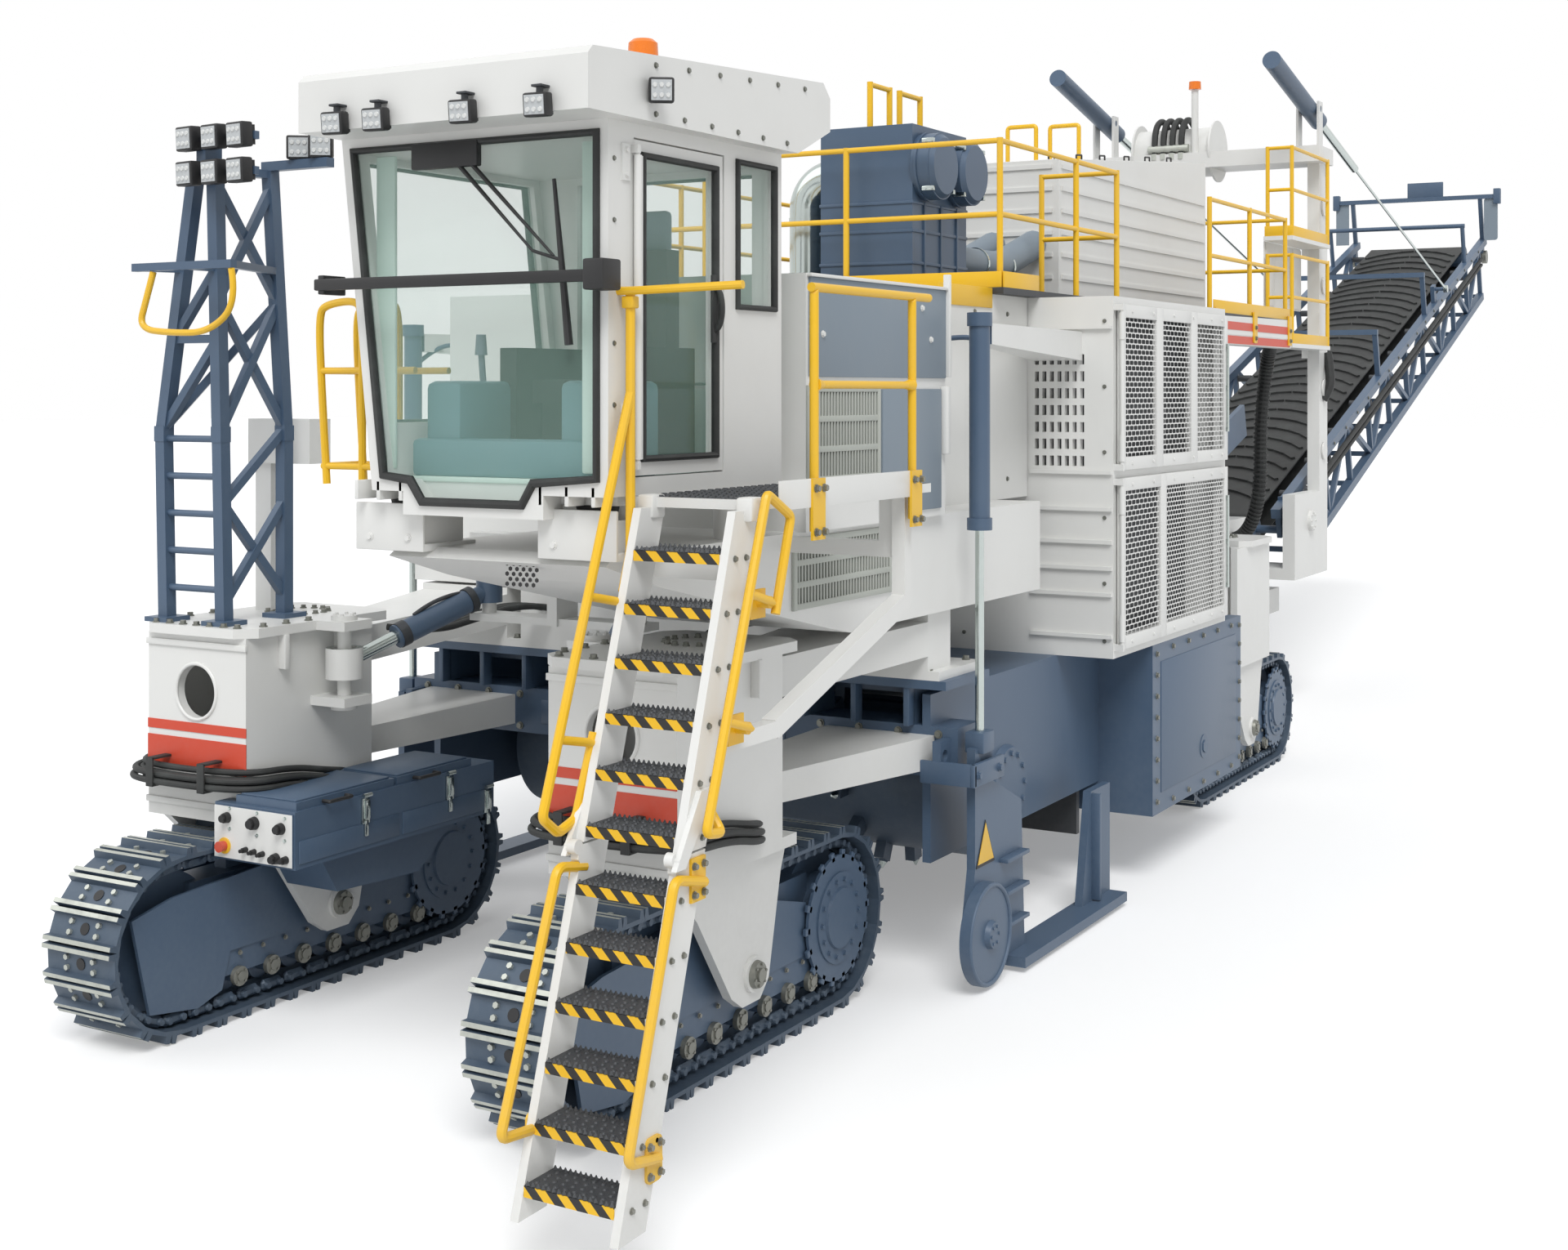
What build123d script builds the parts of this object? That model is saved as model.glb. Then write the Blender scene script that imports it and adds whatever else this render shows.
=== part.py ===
"""Surface miner on four steered crawler tracks, with a central cutting drum and a slewing discharge conveyor."""

import os
from math import cos, pi, radians, sin, sqrt, tan

from build123d import *

# Driving dimensions in millimetres. x points to the machine's left, y to its rear, z up.
# The origin is on the ground, on the centre plane, under the drum's axis.

pin_gap = 0.3  # running clearance at pins, bores and rods
seat_gap = 0.3  # gap between a roller or wheel and what runs on it
plate_wall = 60  # heavy plate of the steel structure
sheet_wall = 40  # sheet of the covers and doors

# Crawler tracks
track_length = 3700
track_height = 1170
shoe_width = 580
shoe_count = 41
grouser_height = 45
shoe_gap_depth = 12
shoe_thickness = 25
link_height = 85
link_width = 200
arc_steps = 10  # flats on each half circle of the link chain
front_track_x, front_track_y = 1600, -3300
rear_track_x, rear_track_y = 1750, 6300
track_pivot_z = 570
pivot_radius = 120
roller_count = 7
roller_radius = 100

# Legs that carry the tracks and turn on kingpins
cheek_gap = 20  # between the shoes and the leg's cheeks
leg_floor_z = 1250
leg_top_z = 2420
leg_plate = 60
kingpin_radius = 150
journal_radius = 110
steer_arm_reach = 600  # kingpin to steering pin, across
steer_arm_back = -200  # kingpin to steering pin, along
steer_pin_z = 2200
steer_pin_radius = 45
steer_eye_play = 40  # open pivot of the steering linkage
steer_base = (620, -2480, 2600)  # cylinder's foot under the front beam

# Drum and its housing
drum_z = 1100
drum_tip_radius = 700
drum_body_radius = 520
drum_half_length = 1900
drum_journal_radius = 150
drum_wall_x = 2080
housing_half_width = 2600
housing_floor_z = 560
housing_top_z = 1930
housing_rear_y = 1960
tank_rear_y = 4300
flange_z = 2040

# Side plates beside the drum
side_plate_x = 2420
side_plate_thickness = 60
side_plate_travel = 600
skid_z = 40
disc_y, disc_radius = -1190, 340
lift_y = -1140
lift_rod_radius = 30
lift_barrel_radius = 70
lift_barrel_z = (3050, 4480)
lift_rod_foot_z = 1600

# Upper frame
beam_x = (880, 1220)
beam_z = (2040, 2500)
beam_front_y, beam_rear_y = -2600, 9200
deck_z = 4690
deck_thickness = 50
deck_half_width = 2000
deck_y = (300, 8200)
rail_height = 1100
rail_radius = 21
post_radius = 24

# Radiator houses
house_x = (1230, 2600)
house_y = (1000, 3830)
house_z = (1930, 4690)
house_split_z = 3330

# Cab
cab_x = (640, 2350)
cab_y = (-5300, -3620)
cab_z = (3450, 5290)
cab_wall = 70
door_y = (-5080, -4230)
door_z = (3540, 5220)
door_gap = 8
roof_x = (640, 2460)
roof_y = (-5620, -3250)
roof_z = (5290, 5600)
boom_top_z = 3150

# Access ladder and platform
ladder_x = (2440, 3020)
step_rise = 250
step_run = 78
step_count = 12
first_step_z = 450
first_step_y = -6030
step_depth = 220
stringer = (45, 210)  # thickness and depth
ladder_split = 6  # steps on the lower, folding section
platform_z = 3450
platform_y = (-5100, -3150)

# Slewing gantry and discharge conveyor
slew_y = 10900
slew_base_z = 1530
slew_radius = 800
tower_x = (1275, 1425)
tower_y = (750, 1150)  # behind the slewing axis
tower_top_z = 7050
boom_pivot_y, boom_pivot_z = 11200, 2350
boom_angle = 17.2
boom_length = 14000
boom_half_width = 1150
belt_width = 1700
belt_radius = 200
belt_thickness = 20
boom_pin_radius = 60
truss_depth = 900
truss_panels = 10
stay_x = 1350
stay_top = (11460, 7510)  # y, z of the cylinder trunnion
stay_foot = (20000, 5640)  # y, z of the lug on the conveyor
stay_barrel = (-1750, 450)  # along the stay from the trunnion
stay_rod = (-850, 2400)
stay_barrel_radius = 110
stay_rod_radius = 55
stay_rope_radius = 18
stay_along, stay_above = 9379, 541  # the lug, along and above the pivot line
trunnion_radius = 40

parts = {}


def keep(name, built):
    """Stores a finished piece under its node's name."""
    built.part.label = name
    parts[name] = built.part


def block(x, y, z, mode=Mode.ADD):
    """A box between the limits given for each axis."""
    middle = [(low + high) / 2 for low, high in (x, y, z)]
    with Locations(tuple(middle)):
        Box(abs(x[1] - x[0]), abs(y[1] - y[0]), abs(z[1] - z[0]), mode=mode)


def sided(side, low, high):
    """Limits across the machine on its left (1) or right (-1) side."""
    return tuple(sorted((side * low, side * high)))


def rod(start, end, radius, mode=Mode.ADD):
    """A round bar between two points."""
    start, end = Vector(*start), Vector(*end)
    along = end - start
    with Locations(Plane(origin=start, z_dir=along)):
        Cylinder(radius, along.length, align=(Align.CENTER, Align.CENTER, Align.MIN), mode=mode)


def bar(start, end, width, height, mode=Mode.ADD):
    """A rectangular bar between two points, its width kept level."""
    start, end = Vector(*start), Vector(*end)
    along = end - start
    level = along.cross(Vector(0, 0, 1))
    if level.length < 1:
        level = Vector(1, 0, 0)
    with Locations(Plane(origin=start, x_dir=level, z_dir=along)):
        Box(width, height, along.length, align=(Align.CENTER, Align.CENTER, Align.MIN), mode=mode)


def side_sheet(points, x, mode=Mode.ADD):
    """A plate whose outline is given as (y, z) points, between two x limits."""
    low, high = sorted(x)
    with BuildSketch(Plane(origin=(low, 0, 0), x_dir=(0, 1, 0), z_dir=(1, 0, 0))) as outline:
        with BuildLine():
            Polyline(*points, close=True)
        make_face()
    extrude(outline.sketch, amount=high - low, mode=mode)


def rail(points, radius=rail_radius):
    """A hand rail through the points, which a post covers at each corner."""
    for start, end in zip(points, points[1:]):
        rod(start, end, radius)


def post(x, y, low, high):
    """An upright that carries rails and covers their ends."""
    rod((x, y, low), (x, y, high + rail_radius), post_radius)


# Crawler track: shoes, links, frame

end_radius = track_height / 2
plate_radius = end_radius - grouser_height
plate_inner = plate_radius - shoe_thickness
link_inner = plate_inner - link_height
track_straight = track_length - track_height
half_straight = track_straight / 2
flat_radius = link_inner * cos(pi / (2 * arc_steps))  # to the middle of a flat of the chain

# One shoe: place along its pitch, share of the grouser's height
shoe_profile = (
    (-0.45, 1),
    (-0.33, 1),
    (-0.29, 0),
    (0.29, 0),
    (0.33, 1),
    (0.45, 1),
)


def loop_point(place, height):
    """Point (y, z) at a place along the shoes' outer face, raised by a height."""
    arc = pi * plate_radius
    place %= 2 * (track_straight + arc)
    reach = plate_radius + height
    if place < track_straight:
        return place - half_straight, end_radius - reach
    place -= track_straight
    if place < arc:
        turn = place / plate_radius
        return half_straight + reach * sin(turn), end_radius - reach * cos(turn)
    place -= arc
    if place < track_straight:
        return half_straight - place, end_radius + reach
    turn = (place - track_straight) / plate_radius
    return -half_straight - reach * sin(turn), end_radius + reach * cos(turn)


def stadium(radius):
    """Points (y, z) of the loop at a radius, with flats in place of its arcs."""
    points = []
    for centre, first in ((half_straight, -90), (-half_straight, 90)):
        for step in range(arc_steps + 1):
            angle = radians(first + 180 * step / arc_steps)
            points.append((centre + radius * cos(angle), end_radius + radius * sin(angle)))
    return points


def shoe_outline():
    """Points (y, z) round the shoes with a notch between each two."""
    pitch = 2 * (track_straight + pi * plate_radius) / shoe_count
    points = []
    for shoe in range(shoe_count):
        points.append(loop_point((shoe - 0.5) * pitch, -shoe_gap_depth))
        points += [loop_point((shoe + at) * pitch, share * grouser_height) for at, share in shoe_profile]
    return points


with BuildPart() as shoe_loop:
    side_sheet(shoe_outline(), (-shoe_width / 2, shoe_width / 2))
    side_sheet(stadium(plate_inner), (-shoe_width / 2, shoe_width / 2), mode=Mode.SUBTRACT)

with BuildPart() as link_loop:
    side_sheet(stadium(plate_inner + 3), (-link_width / 2, link_width / 2))
    side_sheet(stadium(link_inner), (-link_width / 2, link_width / 2), mode=Mode.SUBTRACT)

with BuildPart() as crawler:
    add(shoe_loop.part)
    add(link_loop.part)

frame_half_width = shoe_width / 2 + cheek_gap
roller_z = end_radius - link_inner + roller_radius + seat_gap
roller_span = (-760, 950)
guard_outline = (
    (-1620, 800),
    (-1300, 870),
    (-250, 930),
    (250, 930),
    (900, 760),
    (1000, 430),
    (-830, 430),
    (-900, 200),
    (-1100, 140),
    (-1480, 200),
)

with BuildPart() as crawler_frame:
    block((-130, 130), (-1080, 1080), (330, 900))
    block((-50, 50), (-700, 700), (900, end_radius + link_inner - 10))
    for side in (1, -1):
        side_sheet(guard_outline, (side * 200, side * 225))
        block(sided(side, 130, 215), (-900, 1000), (275, 440))
        for end in (1, -1):
            bar((side * 130, end * 900, 500), (side * 200, end * 900, 500), 120, 120)
    for place in range(roller_count):
        y = roller_span[0] + (roller_span[1] - roller_span[0]) * place / (roller_count - 1)
        rod((-120, y, roller_z), (120, y, roller_z), roller_radius)
        rod((-235, y, roller_z), (235, y, roller_z), 45)
    for y, hub_radius, hub_reach in ((-half_straight, 120, 190), (half_straight, 270, 250)):
        rod((-75, y, end_radius), (75, y, end_radius), flat_radius - seat_gap)
        rod((-hub_reach, y, end_radius), (hub_reach, y, end_radius), hub_radius)
    rod((-frame_half_width, 0, track_pivot_z), (frame_half_width, 0, track_pivot_z), pivot_radius)

corners = {
    "front_left": (front_track_x, front_track_y, 1),
    "front_right": (-front_track_x, front_track_y, -1),
    "rear_left": (rear_track_x, rear_track_y, 1),
    "rear_right": (-rear_track_x, rear_track_y, -1),
}

for corner, (x, y, side) in corners.items():
    with BuildPart() as track:
        with Locations((x, y, 0)):
            add(crawler.part)
    keep("track_" + corner, track)
    with BuildPart() as track_frame:
        with Locations((x, y, 0)):
            add(crawler_frame.part)
    keep("track_frame_" + corner, track_frame)

# Legs: a fork over the track, a floor and a top plate bored for the kingpin

cheek_thickness = 60
wall_x = (370, 430)
cheek_outline = (
    (-840, leg_floor_z + 70),
    (-840, 1240),
    (-600, 1010),
    (-230, 480),
    (-110, 400),
    (90, 400),
    (190, 500),
    (330, 1100),
    (420, leg_floor_z + 70),
)


def leg_base(x, y, top_x, top_y):
    """Cheeks, pin bosses, floor and bored eight-sided top plate that all legs share."""
    for side in (1, -1):
        inner, outer = side * frame_half_width, side * (frame_half_width + cheek_thickness)
        side_sheet([(y + a, b) for a, b in cheek_outline], (x + inner, x + outer))
        rod((x + outer, y, track_pivot_z), (x + outer + side * 25, y, track_pivot_z), 105)
    block((x - wall_x[1], x + wall_x[1]), (y - 840, y + 420), (leg_floor_z, leg_floor_z + 70))
    with BuildSketch(Plane((x, y, leg_top_z))) as plate:
        with Locations(((top_x[0] + top_x[1]) / 2, (top_y[0] + top_y[1]) / 2)):
            Rectangle(top_x[1] - top_x[0], top_y[1] - top_y[0])
        chamfer(plate.vertices(), 110)
    extrude(plate.sketch, amount=leg_plate)


def kingpin_bore(x, y):
    """Opens the floor and the top plate for the kingpin's journals."""
    rod((x, y, leg_floor_z - 10), (x, y, leg_top_z + leg_plate + 10), journal_radius + pin_gap, Mode.SUBTRACT)


for name, (x, y, side) in list(corners.items())[:2]:
    with BuildPart() as leg:
        leg_base(x, y, (-480, 480), (-950, 450))
        for wall in (1, -1):
            block(sorted((x + wall * wall_x[0], x + wall * wall_x[1])), (y - 900, y + 250), (leg_floor_z, leg_top_z))
        block((x - wall_x[1], x + wall_x[1]), (y - 900, y - 840), (leg_floor_z, leg_top_z))
        with Locations(Plane(origin=(x, y - 870, 2060), z_dir=(0, 1, 0))):
            Cylinder(170, 100, mode=Mode.SUBTRACT)
        pin = (x - side * steer_arm_reach, y + steer_arm_back)
        ear = sorted((x - side * wall_x[1], x - side * 720))
        block(ear, (pin[1] - 130, pin[1] + 130), (leg_top_z, leg_top_z + leg_plate))
        block(ear, (pin[1] - 130, pin[1] + 130), (1930, 1990))
        rod((*pin, 1930), (*pin, leg_top_z + leg_plate), steer_pin_radius)
        kingpin_bore(x, y)
        if side < 0:
            # post of the service crane
            block((-1920, -1780), (-3370, -3230), (leg_top_z + leg_plate, 3480))
            block((-1960, -1400), (-3400, -3200), (3480, 3780))
    keep("leg_" + name, leg)

for name, (x, y, side) in list(corners.items())[2:]:
    with BuildPart() as leg:
        leg_base(x, y, sided(side, -260, 480), (-450, 450))
        block(sorted((x + side * wall_x[0], x + side * wall_x[1])), (y - 700, y + 420), (leg_floor_z, leg_top_z))
        kingpin_bore(x, y)
    keep("leg_" + name, leg)


def kingpin(x, y):
    """Post between the leg's floor and top plate, with a journal in each."""
    floor, top = leg_floor_z + 70 + pin_gap, leg_top_z - pin_gap
    rod((x, y, floor), (x, y, top), kingpin_radius)
    rod((x, y, leg_floor_z), (x, y, leg_top_z + leg_plate), journal_radius)


arm_foot_y = -1350
bracket_z = (flange_z + plate_wall, 2480)

with BuildPart() as arms:
    for x, y, side in list(corners.values())[:2]:
        kingpin(x, y)
        for low, high, foot_low, foot_high in ((2080, 2330, 2200, 2430), (1470, 1650, 1440, 1660)):
            with BuildSketch(Plane.XZ.offset(-(y + 100))) as near:
                with Locations((x, (low + high) / 2)):
                    Rectangle(400, high - low)
            with BuildSketch(Plane.XZ.offset(-arm_foot_y if low > 2000 else 1250)) as far:
                with Locations((side * 1760, (foot_low + foot_high) / 2)):
                    Rectangle(820, foot_high - foot_low)
            loft([near.sketch, far.sketch])
        block(sided(side, 1350, 2170), (arm_foot_y, -1000), bracket_z)
keep("swing_arms", arms)

with BuildPart() as carriers:
    for x, y, side in list(corners.values())[2:]:
        kingpin(x, y)
        block(sided(side, beam_x[1], abs(x) - 40), (y - 200, y + 200), (1960, leg_top_z - 60))
        block(sided(side, beam_x[1], abs(x) - 40), (y - 200, y + 200), (1480, 1700))
        block(sided(side, beam_x[0], beam_x[1]), (y - 200, y + 200), (1480, beam_z[0]))
keep("leg_carriers", carriers)


# Steering cylinders of the front legs, opened at the rod's eye

steer_barrel = (130, 760)  # from the foot's pin, along the cylinder
steer_barrel_radius = 80
steer_rod_radius = 45
steer_bore_start = 280
steer_rod_start = 450

for name, (x, y, side) in list(corners.items())[:2]:
    foot = Vector(side * steer_base[0], steer_base[1], steer_base[2])
    eye = Vector(x - side * steer_arm_reach, y + steer_arm_back, steer_pin_z)
    way = (eye - foot).normalized()
    span = (eye - foot).length
    with BuildPart() as barrel:
        rod(foot, foot + way * steer_barrel[0], 60)
        rod(foot + way * steer_barrel[0], foot + way * steer_barrel[1], steer_barrel_radius)
        rod(foot - Vector(0, 0, 80), foot + Vector(0, 0, 80), 90)
        rod(foot - Vector(0, 0, 90), foot + Vector(0, 0, 90), 50 + pin_gap, Mode.SUBTRACT)
        rod(
            foot + way * steer_bore_start,
            foot + way * (steer_barrel[1] + 10),
            steer_rod_radius + pin_gap,
            Mode.SUBTRACT,
        )
    keep("steer_barrel_" + name.split("_")[1], barrel)
    with BuildPart() as steer_rod:
        rod(foot + way * steer_rod_start, foot + way * (span - 100), steer_rod_radius)
        rod(eye - Vector(0, 0, 100), eye + Vector(0, 0, 100), 120)
        rod(eye - Vector(0, 0, 110), eye + Vector(0, 0, 110), steer_pin_radius + steer_eye_play, Mode.SUBTRACT)
    keep("steer_rod_" + name.split("_")[1], steer_rod)

# Lower frame: drum housing, cross-beam, tanks

lug_bore = 40
# x, y of the plate's root, direction, z of the lashing eye
lashing_eyes = ((2260, -1250, -1, 1550), (2500, tank_rear_y, 1, 1550))

with BuildPart() as chassis:
    block((-2340, 2340), (-1250, -900), (1380, 1720))
    for x in (-2000, -1200, -400, 400, 1200, 2000):
        block((x - 20, x + 20), (-1250, -900), (1720, 1980))
    block((-2300, 2300), (-1350, -640), (1980, flange_z))
    block((-2140, 2140), (-900, housing_rear_y), (1870, housing_top_z))
    block((-2140, 2140), (-700, -640), (1870, 1980))
    block((-housing_half_width, housing_half_width), (1900, housing_rear_y), (housing_floor_z, housing_top_z))
    block((-750, 750), (1890, housing_rear_y + 10), (housing_floor_z - 10, 1700), Mode.SUBTRACT)
    for side in (1, -1):
        block(sided(side, drum_wall_x, drum_wall_x + 60), (-1250, 1900), (800, 1930))
        rod((side * 2000, 0, drum_z), (side * 2200, 0, drum_z), drum_journal_radius + pin_gap, Mode.SUBTRACT)
        block(sided(side, 1000, housing_half_width), (housing_rear_y, tank_rear_y), (housing_floor_z, housing_top_z))
        for x, root, way, z in lashing_eyes:
            tip = root + way * 160
            block(sided(side, x - 30, x + 30), sorted((root, tip)), (z - 100, z + 100))
            at = root + way * 90
            rod((side * (x - 40), at, z), (side * (x + 40), at, z), lug_bore, Mode.SUBTRACT)
keep("lower_frame", chassis)

# Upper frame: flange, long beams, cross-members, slewing base

with BuildPart() as upper:
    block((-2250, 2250), (-1350, -640), (flange_z, flange_z + plate_wall))
    for side in (1, -1):
        block(sided(side, *beam_x), (-1350, beam_rear_y), beam_z)
        block(sided(side, 1000, beam_x[1]), (housing_rear_y, tank_rear_y), (housing_top_z, beam_z[0]))
        block(sided(side, *beam_x), (8700, beam_rear_y), (1150, beam_z[0]))
        block(sided(side, 950, 1150), (7950, 8150), (beam_z[1], deck_z))
    for y, top in ((-1350, 2500), (2200, 2300), (8200, 2300)):
        block((-beam_x[0], beam_x[0]), (y, y + 200), (beam_z[0], top))
    block((-300, 300), (-1350, -1150), (2500, 3000))
    block((-300, 300), (-2700, -1350), (2760, 3000))
    block((-40, 40), (-2600, -2360), (2400, 2760))
    for z in ((2400, 2450), (2760, 3000)):
        block((-710, 710), (steer_base[1] - 100, steer_base[1] + 100), z)
    for side in (1, -1):
        foot = (side * steer_base[0], steer_base[1])
        rod((*foot, 2420), (*foot, 2780), 50)
    block((-beam_x[1], beam_x[1]), (8700, beam_rear_y), (1150, 1450))
    block((-900, 900), (beam_rear_y, 11700), (1150, 1450))
    with Locations((0, slew_y, 1450)):
        Cylinder(slew_radius - 100, slew_base_z - 1450, align=(Align.CENTER, Align.CENTER, Align.MIN))
    block((-2250, -700), (-1350, 400), (beam_z[1], boom_top_z))
    # cab boom over the left front leg
    outline = (
        (400, 2500),
        (400, boom_top_z),
        (-5100, boom_top_z),
        (-5180, 3100),
        (-4700, 2960),
        (-2900, 2560),
        (-2600, 2500),
    )
    side_sheet(outline, (860, 2250))
    for x in (1000, 2150):
        for y in (-4950, -3850):
            rod((x, y, boom_top_z), (x, y, cab_z[0]), 90)
keep("upper_frame", upper)

# Housings on the frame

with BuildPart() as power:
    block((-1900, 1900), (-1350, 990), (boom_top_z, deck_z))
    block((-1840, 1840), (-1290, 930), (boom_top_z - 10, deck_z - 60), Mode.SUBTRACT)
    block((900, 2300), (-3250, -1360), (boom_top_z, 4650))
    block((960, 2240), (-3190, -1420), (boom_top_z - 10, 4590), Mode.SUBTRACT)
keep("power_housings", power)

with BuildPart() as deck:
    block((-deck_half_width, deck_half_width), deck_y, (deck_z, deck_z + deck_thickness))
    for side in (1, -1):
        block(sided(side, 1840, deck_half_width), (house_y[1] + 20, deck_y[1]), (4430, deck_z))
keep("service_deck", deck)

deck_top = deck_z + deck_thickness
hood_y = (3400, 7690)
hood_rise = (6060, 6460)
with BuildPart() as hood:
    outline = ((hood_y[0], deck_top), (hood_y[0], hood_rise[0]), (hood_y[1], hood_rise[1]), (hood_y[1], deck_top))
    side_sheet(outline, (-1200, 1200))
    inner = (
        (hood_y[0] + 60, deck_top - 10),
        (hood_y[0] + 60, hood_rise[0] - 60),
        (hood_y[1] - 60, hood_rise[1] - 60),
        (hood_y[1] - 60, deck_top - 10),
    )
    side_sheet(inner, (-1140, 1140), Mode.SUBTRACT)
    for side in (1, -1):
        for z in range(4980, 6000, 200):
            block(sided(side, 1190, 1215), (hood_y[0] + 60, hood_y[1] - 60), (z, z + 40))
    for z in range(4980, 6000, 200):
        block((-1140, 1140), (hood_y[0] - 15, hood_y[0] + 10), (z, z + 40))
keep("engine_hood", hood)

with BuildPart() as engine:
    block((-800, 800), (3600, 7000), (2950, 4400))
    for side in (1, -1):
        for y in (3900, 6500):
            block(sided(side, 780, 1100), (y, y + 300), (beam_z[1], 3100))
    for side in (1, -1):
        block(sided(side, 1600, 2300), (1200, 3630), (house_z[0] + 60, house_z[1] - 60))
keep("engine", engine)

with BuildPart() as cleaner:
    block((340, 1150), (500, 1500), (deck_top, 6040))
    for y in (720, 1300):
        rod((1150, y, 5720), (1300, y, 5720), 260)
keep("air_cleaner", cleaner)

with BuildPart() as intake:
    rod((0, 900, deck_top), (0, 900, 5450), 150)
    with BuildSketch(Plane((0, 900, 5450))) as ring:
        Circle(150)
    revolve(ring.sketch, axis=Axis((250, 900, 5450), (0, 1, 0)), revolution_arc=90)
    rod((250, 900, 5700), (340, 900, 5700), 150)
keep("intake_pipe", intake)

# Radiator houses and their doors

hinge_y = 1030
hinge_out = 60
hinge_pin_radius = 15
house_doors = {"lower": (1990, 3300), "upper": (3360, 4630)}
front_ribs = (2080, 2400, 2600, 2800, 3050, 3330, 4440)
door_span = (1060, 3770)

with BuildPart() as houses:
    for side in (1, -1):
        hinge_x = side * (house_x[1] + hinge_out)
        block(sided(side, *house_x), house_y, house_z)
        hollow = [(low + plate_wall, high - plate_wall) for low, high in (house_x, house_y, house_z)]
        block(sided(side, *hollow[0]), hollow[1], hollow[2], Mode.SUBTRACT)
        for z in front_ribs:
            block(sided(side, 1930, house_x[1] - 10), (house_y[0] - 25, house_y[0] + 10), (z, z + 30))
        for row in range(7):
            for column in range(7):
                x, z = 1960 + column * 62, 3390 + row * 130
                block(sided(side, x, x + 34), (house_y[0] - 30, house_y[0] + 70), (z, z + 78), Mode.SUBTRACT)
        for low, high in house_doors.values():
            block(sided(side, house_x[1] - 70, house_x[1] + 10), (1150, 3680), (low + 60, high - 60), Mode.SUBTRACT)
            rod((hinge_x, hinge_y, low), (hinge_x, hinge_y, high), hinge_pin_radius)
            for z in (low, high - 50):
                block(sided(side, house_x[1], house_x[1] + 75), (hinge_y - 20, hinge_y + 20), (z, z + 50))
keep("radiator_houses", houses)

for name, side in (("left", 1), ("right", -1)):
    hinge_x = side * (house_x[1] + hinge_out)
    for level, (low, high) in house_doors.items():
        with BuildPart() as panel:
            block(sided(side, house_x[1] + 5, house_x[1] + 45), door_span, (low, high))
            rod((hinge_x, hinge_y, low + 60), (hinge_x, hinge_y, high - 60), 24)
            block(sided(side, house_x[1] + 20, house_x[1] + 60), (hinge_y, door_span[0]), (low + 60, high - 60))
            rod((hinge_x, hinge_y, low), (hinge_x, hinge_y, high), hinge_pin_radius + pin_gap, Mode.SUBTRACT)
            for column in range(3):
                for row in range(5):
                    y = 1230 + column * 840
                    z = low + 150 + row * (high - low - 300) / 5
                    block(sided(side, house_x[1], house_x[1] + 50), (y, y + 700), (z, z + 110), Mode.SUBTRACT)
        keep("radiator_door_" + level + "_" + name, panel)

# Drum with its picks

with BuildPart() as drum:
    rod((-drum_half_length, 0, drum_z), (drum_half_length, 0, drum_z), drum_body_radius)
    rod((-drum_wall_x - 60, 0, drum_z), (drum_wall_x + 60, 0, drum_z), drum_journal_radius)
    picks = 40
    for pick in range(picks):
        x = -drum_half_length + 60 + (2 * drum_half_length - 120) * pick / (picks - 1)
        angle = 360 * 3.5 * abs(pick - (picks - 1) / 2) / picks + (0 if pick < picks / 2 else 90)
        with Locations(Plane((0, 0, drum_z)) * Location((x, 0, 0), (angle, 0, 0))):
            with Locations((0, 0, drum_body_radius + 55)):
                Box(80, 120, 130)
            with Locations((0, -30, drum_body_radius + 118)):
                Cone(38, 8, drum_tip_radius - drum_body_radius - 118, align=(Align.CENTER, Align.CENTER, Align.MIN))
keep("cutting_drum", drum)

with BuildPart() as scraper:
    block((-2070, 2070), (1600, 1660), (420, 1860))
    block((-760, 760), (1590, 1670), (560, 1700), Mode.SUBTRACT)
    for x in (-1500, 0, 1500):
        block((x - 40, x + 40), (1660, 1900), (1720, 1860))
keep("scraper_blade", scraper)

# Side plates, their discs and lift cylinders

for name, side in (("left", 1), ("right", -1)):
    lift_x = side * (side_plate_x + 30)
    with BuildPart() as side_plate:
        outline = (
            (-1400, 300),
            (-900, 300),
            (-760, skid_z),
            (1250, skid_z),
            (1250, 940),
            (840, 940),
            (660, skid_z + 70),
            (-440, skid_z + 70),
            (-500, 1130),
            (-1000, 1350),
            (-1000, lift_rod_foot_z),
            (-1280, lift_rod_foot_z),
            (-1280, 800),
        )
        side_sheet(outline, sorted((side * side_plate_x, side * (side_plate_x + side_plate_thickness))))
        block(sided(side, side_plate_x - 40, side_plate_x + 200), (-760, 1250), (skid_z, skid_z + 70))
        rod((side * (side_plate_x + 60), disc_y, disc_radius + 25), (side * (side_plate_x + 130), disc_y, disc_radius + 25), disc_radius)
        rod((lift_x, lift_y, lift_rod_foot_z), (lift_x, lift_y, lift_barrel_z[0] + 500), lift_rod_radius)
    keep("side_plate_" + name, side_plate)

with BuildPart() as lift:
    for side in (1, -1):
        lift_x = side * (side_plate_x + 30)
        rod((lift_x, lift_y, lift_barrel_z[0]), (lift_x, lift_y, lift_barrel_z[1]), lift_barrel_radius)
        rod((lift_x, lift_y, lift_barrel_z[0] - 10), (lift_x, lift_y, lift_barrel_z[1] - 80), lift_rod_radius + pin_gap, Mode.SUBTRACT)
        # tapered bracket back to the radiator house
        with BuildSketch(Plane.XZ.offset(-(lift_y + 65))) as bracket_tip:
            with Locations((lift_x, 4350)):
                Rectangle(120, 140)
        with BuildSketch(Plane.XZ.offset(-house_y[0])) as bracket_root:
            with Locations((side * 2150, 4310)):
                Rectangle(400, 220)
        loft([bracket_tip.sketch, bracket_root.sketch])
keep("plate_cylinders", lift)

# Cab

# windscreen outline as (x, z), with a drop in the middle of its lower edge
screen_outline = (
    (930, 3530),
    (1110, 3510),
    (1190, 3400),
    (1830, 3400),
    (1900, 3510),
    (2285, 3540),
    (2285, 5225),
    (725, 5225),
)

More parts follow.
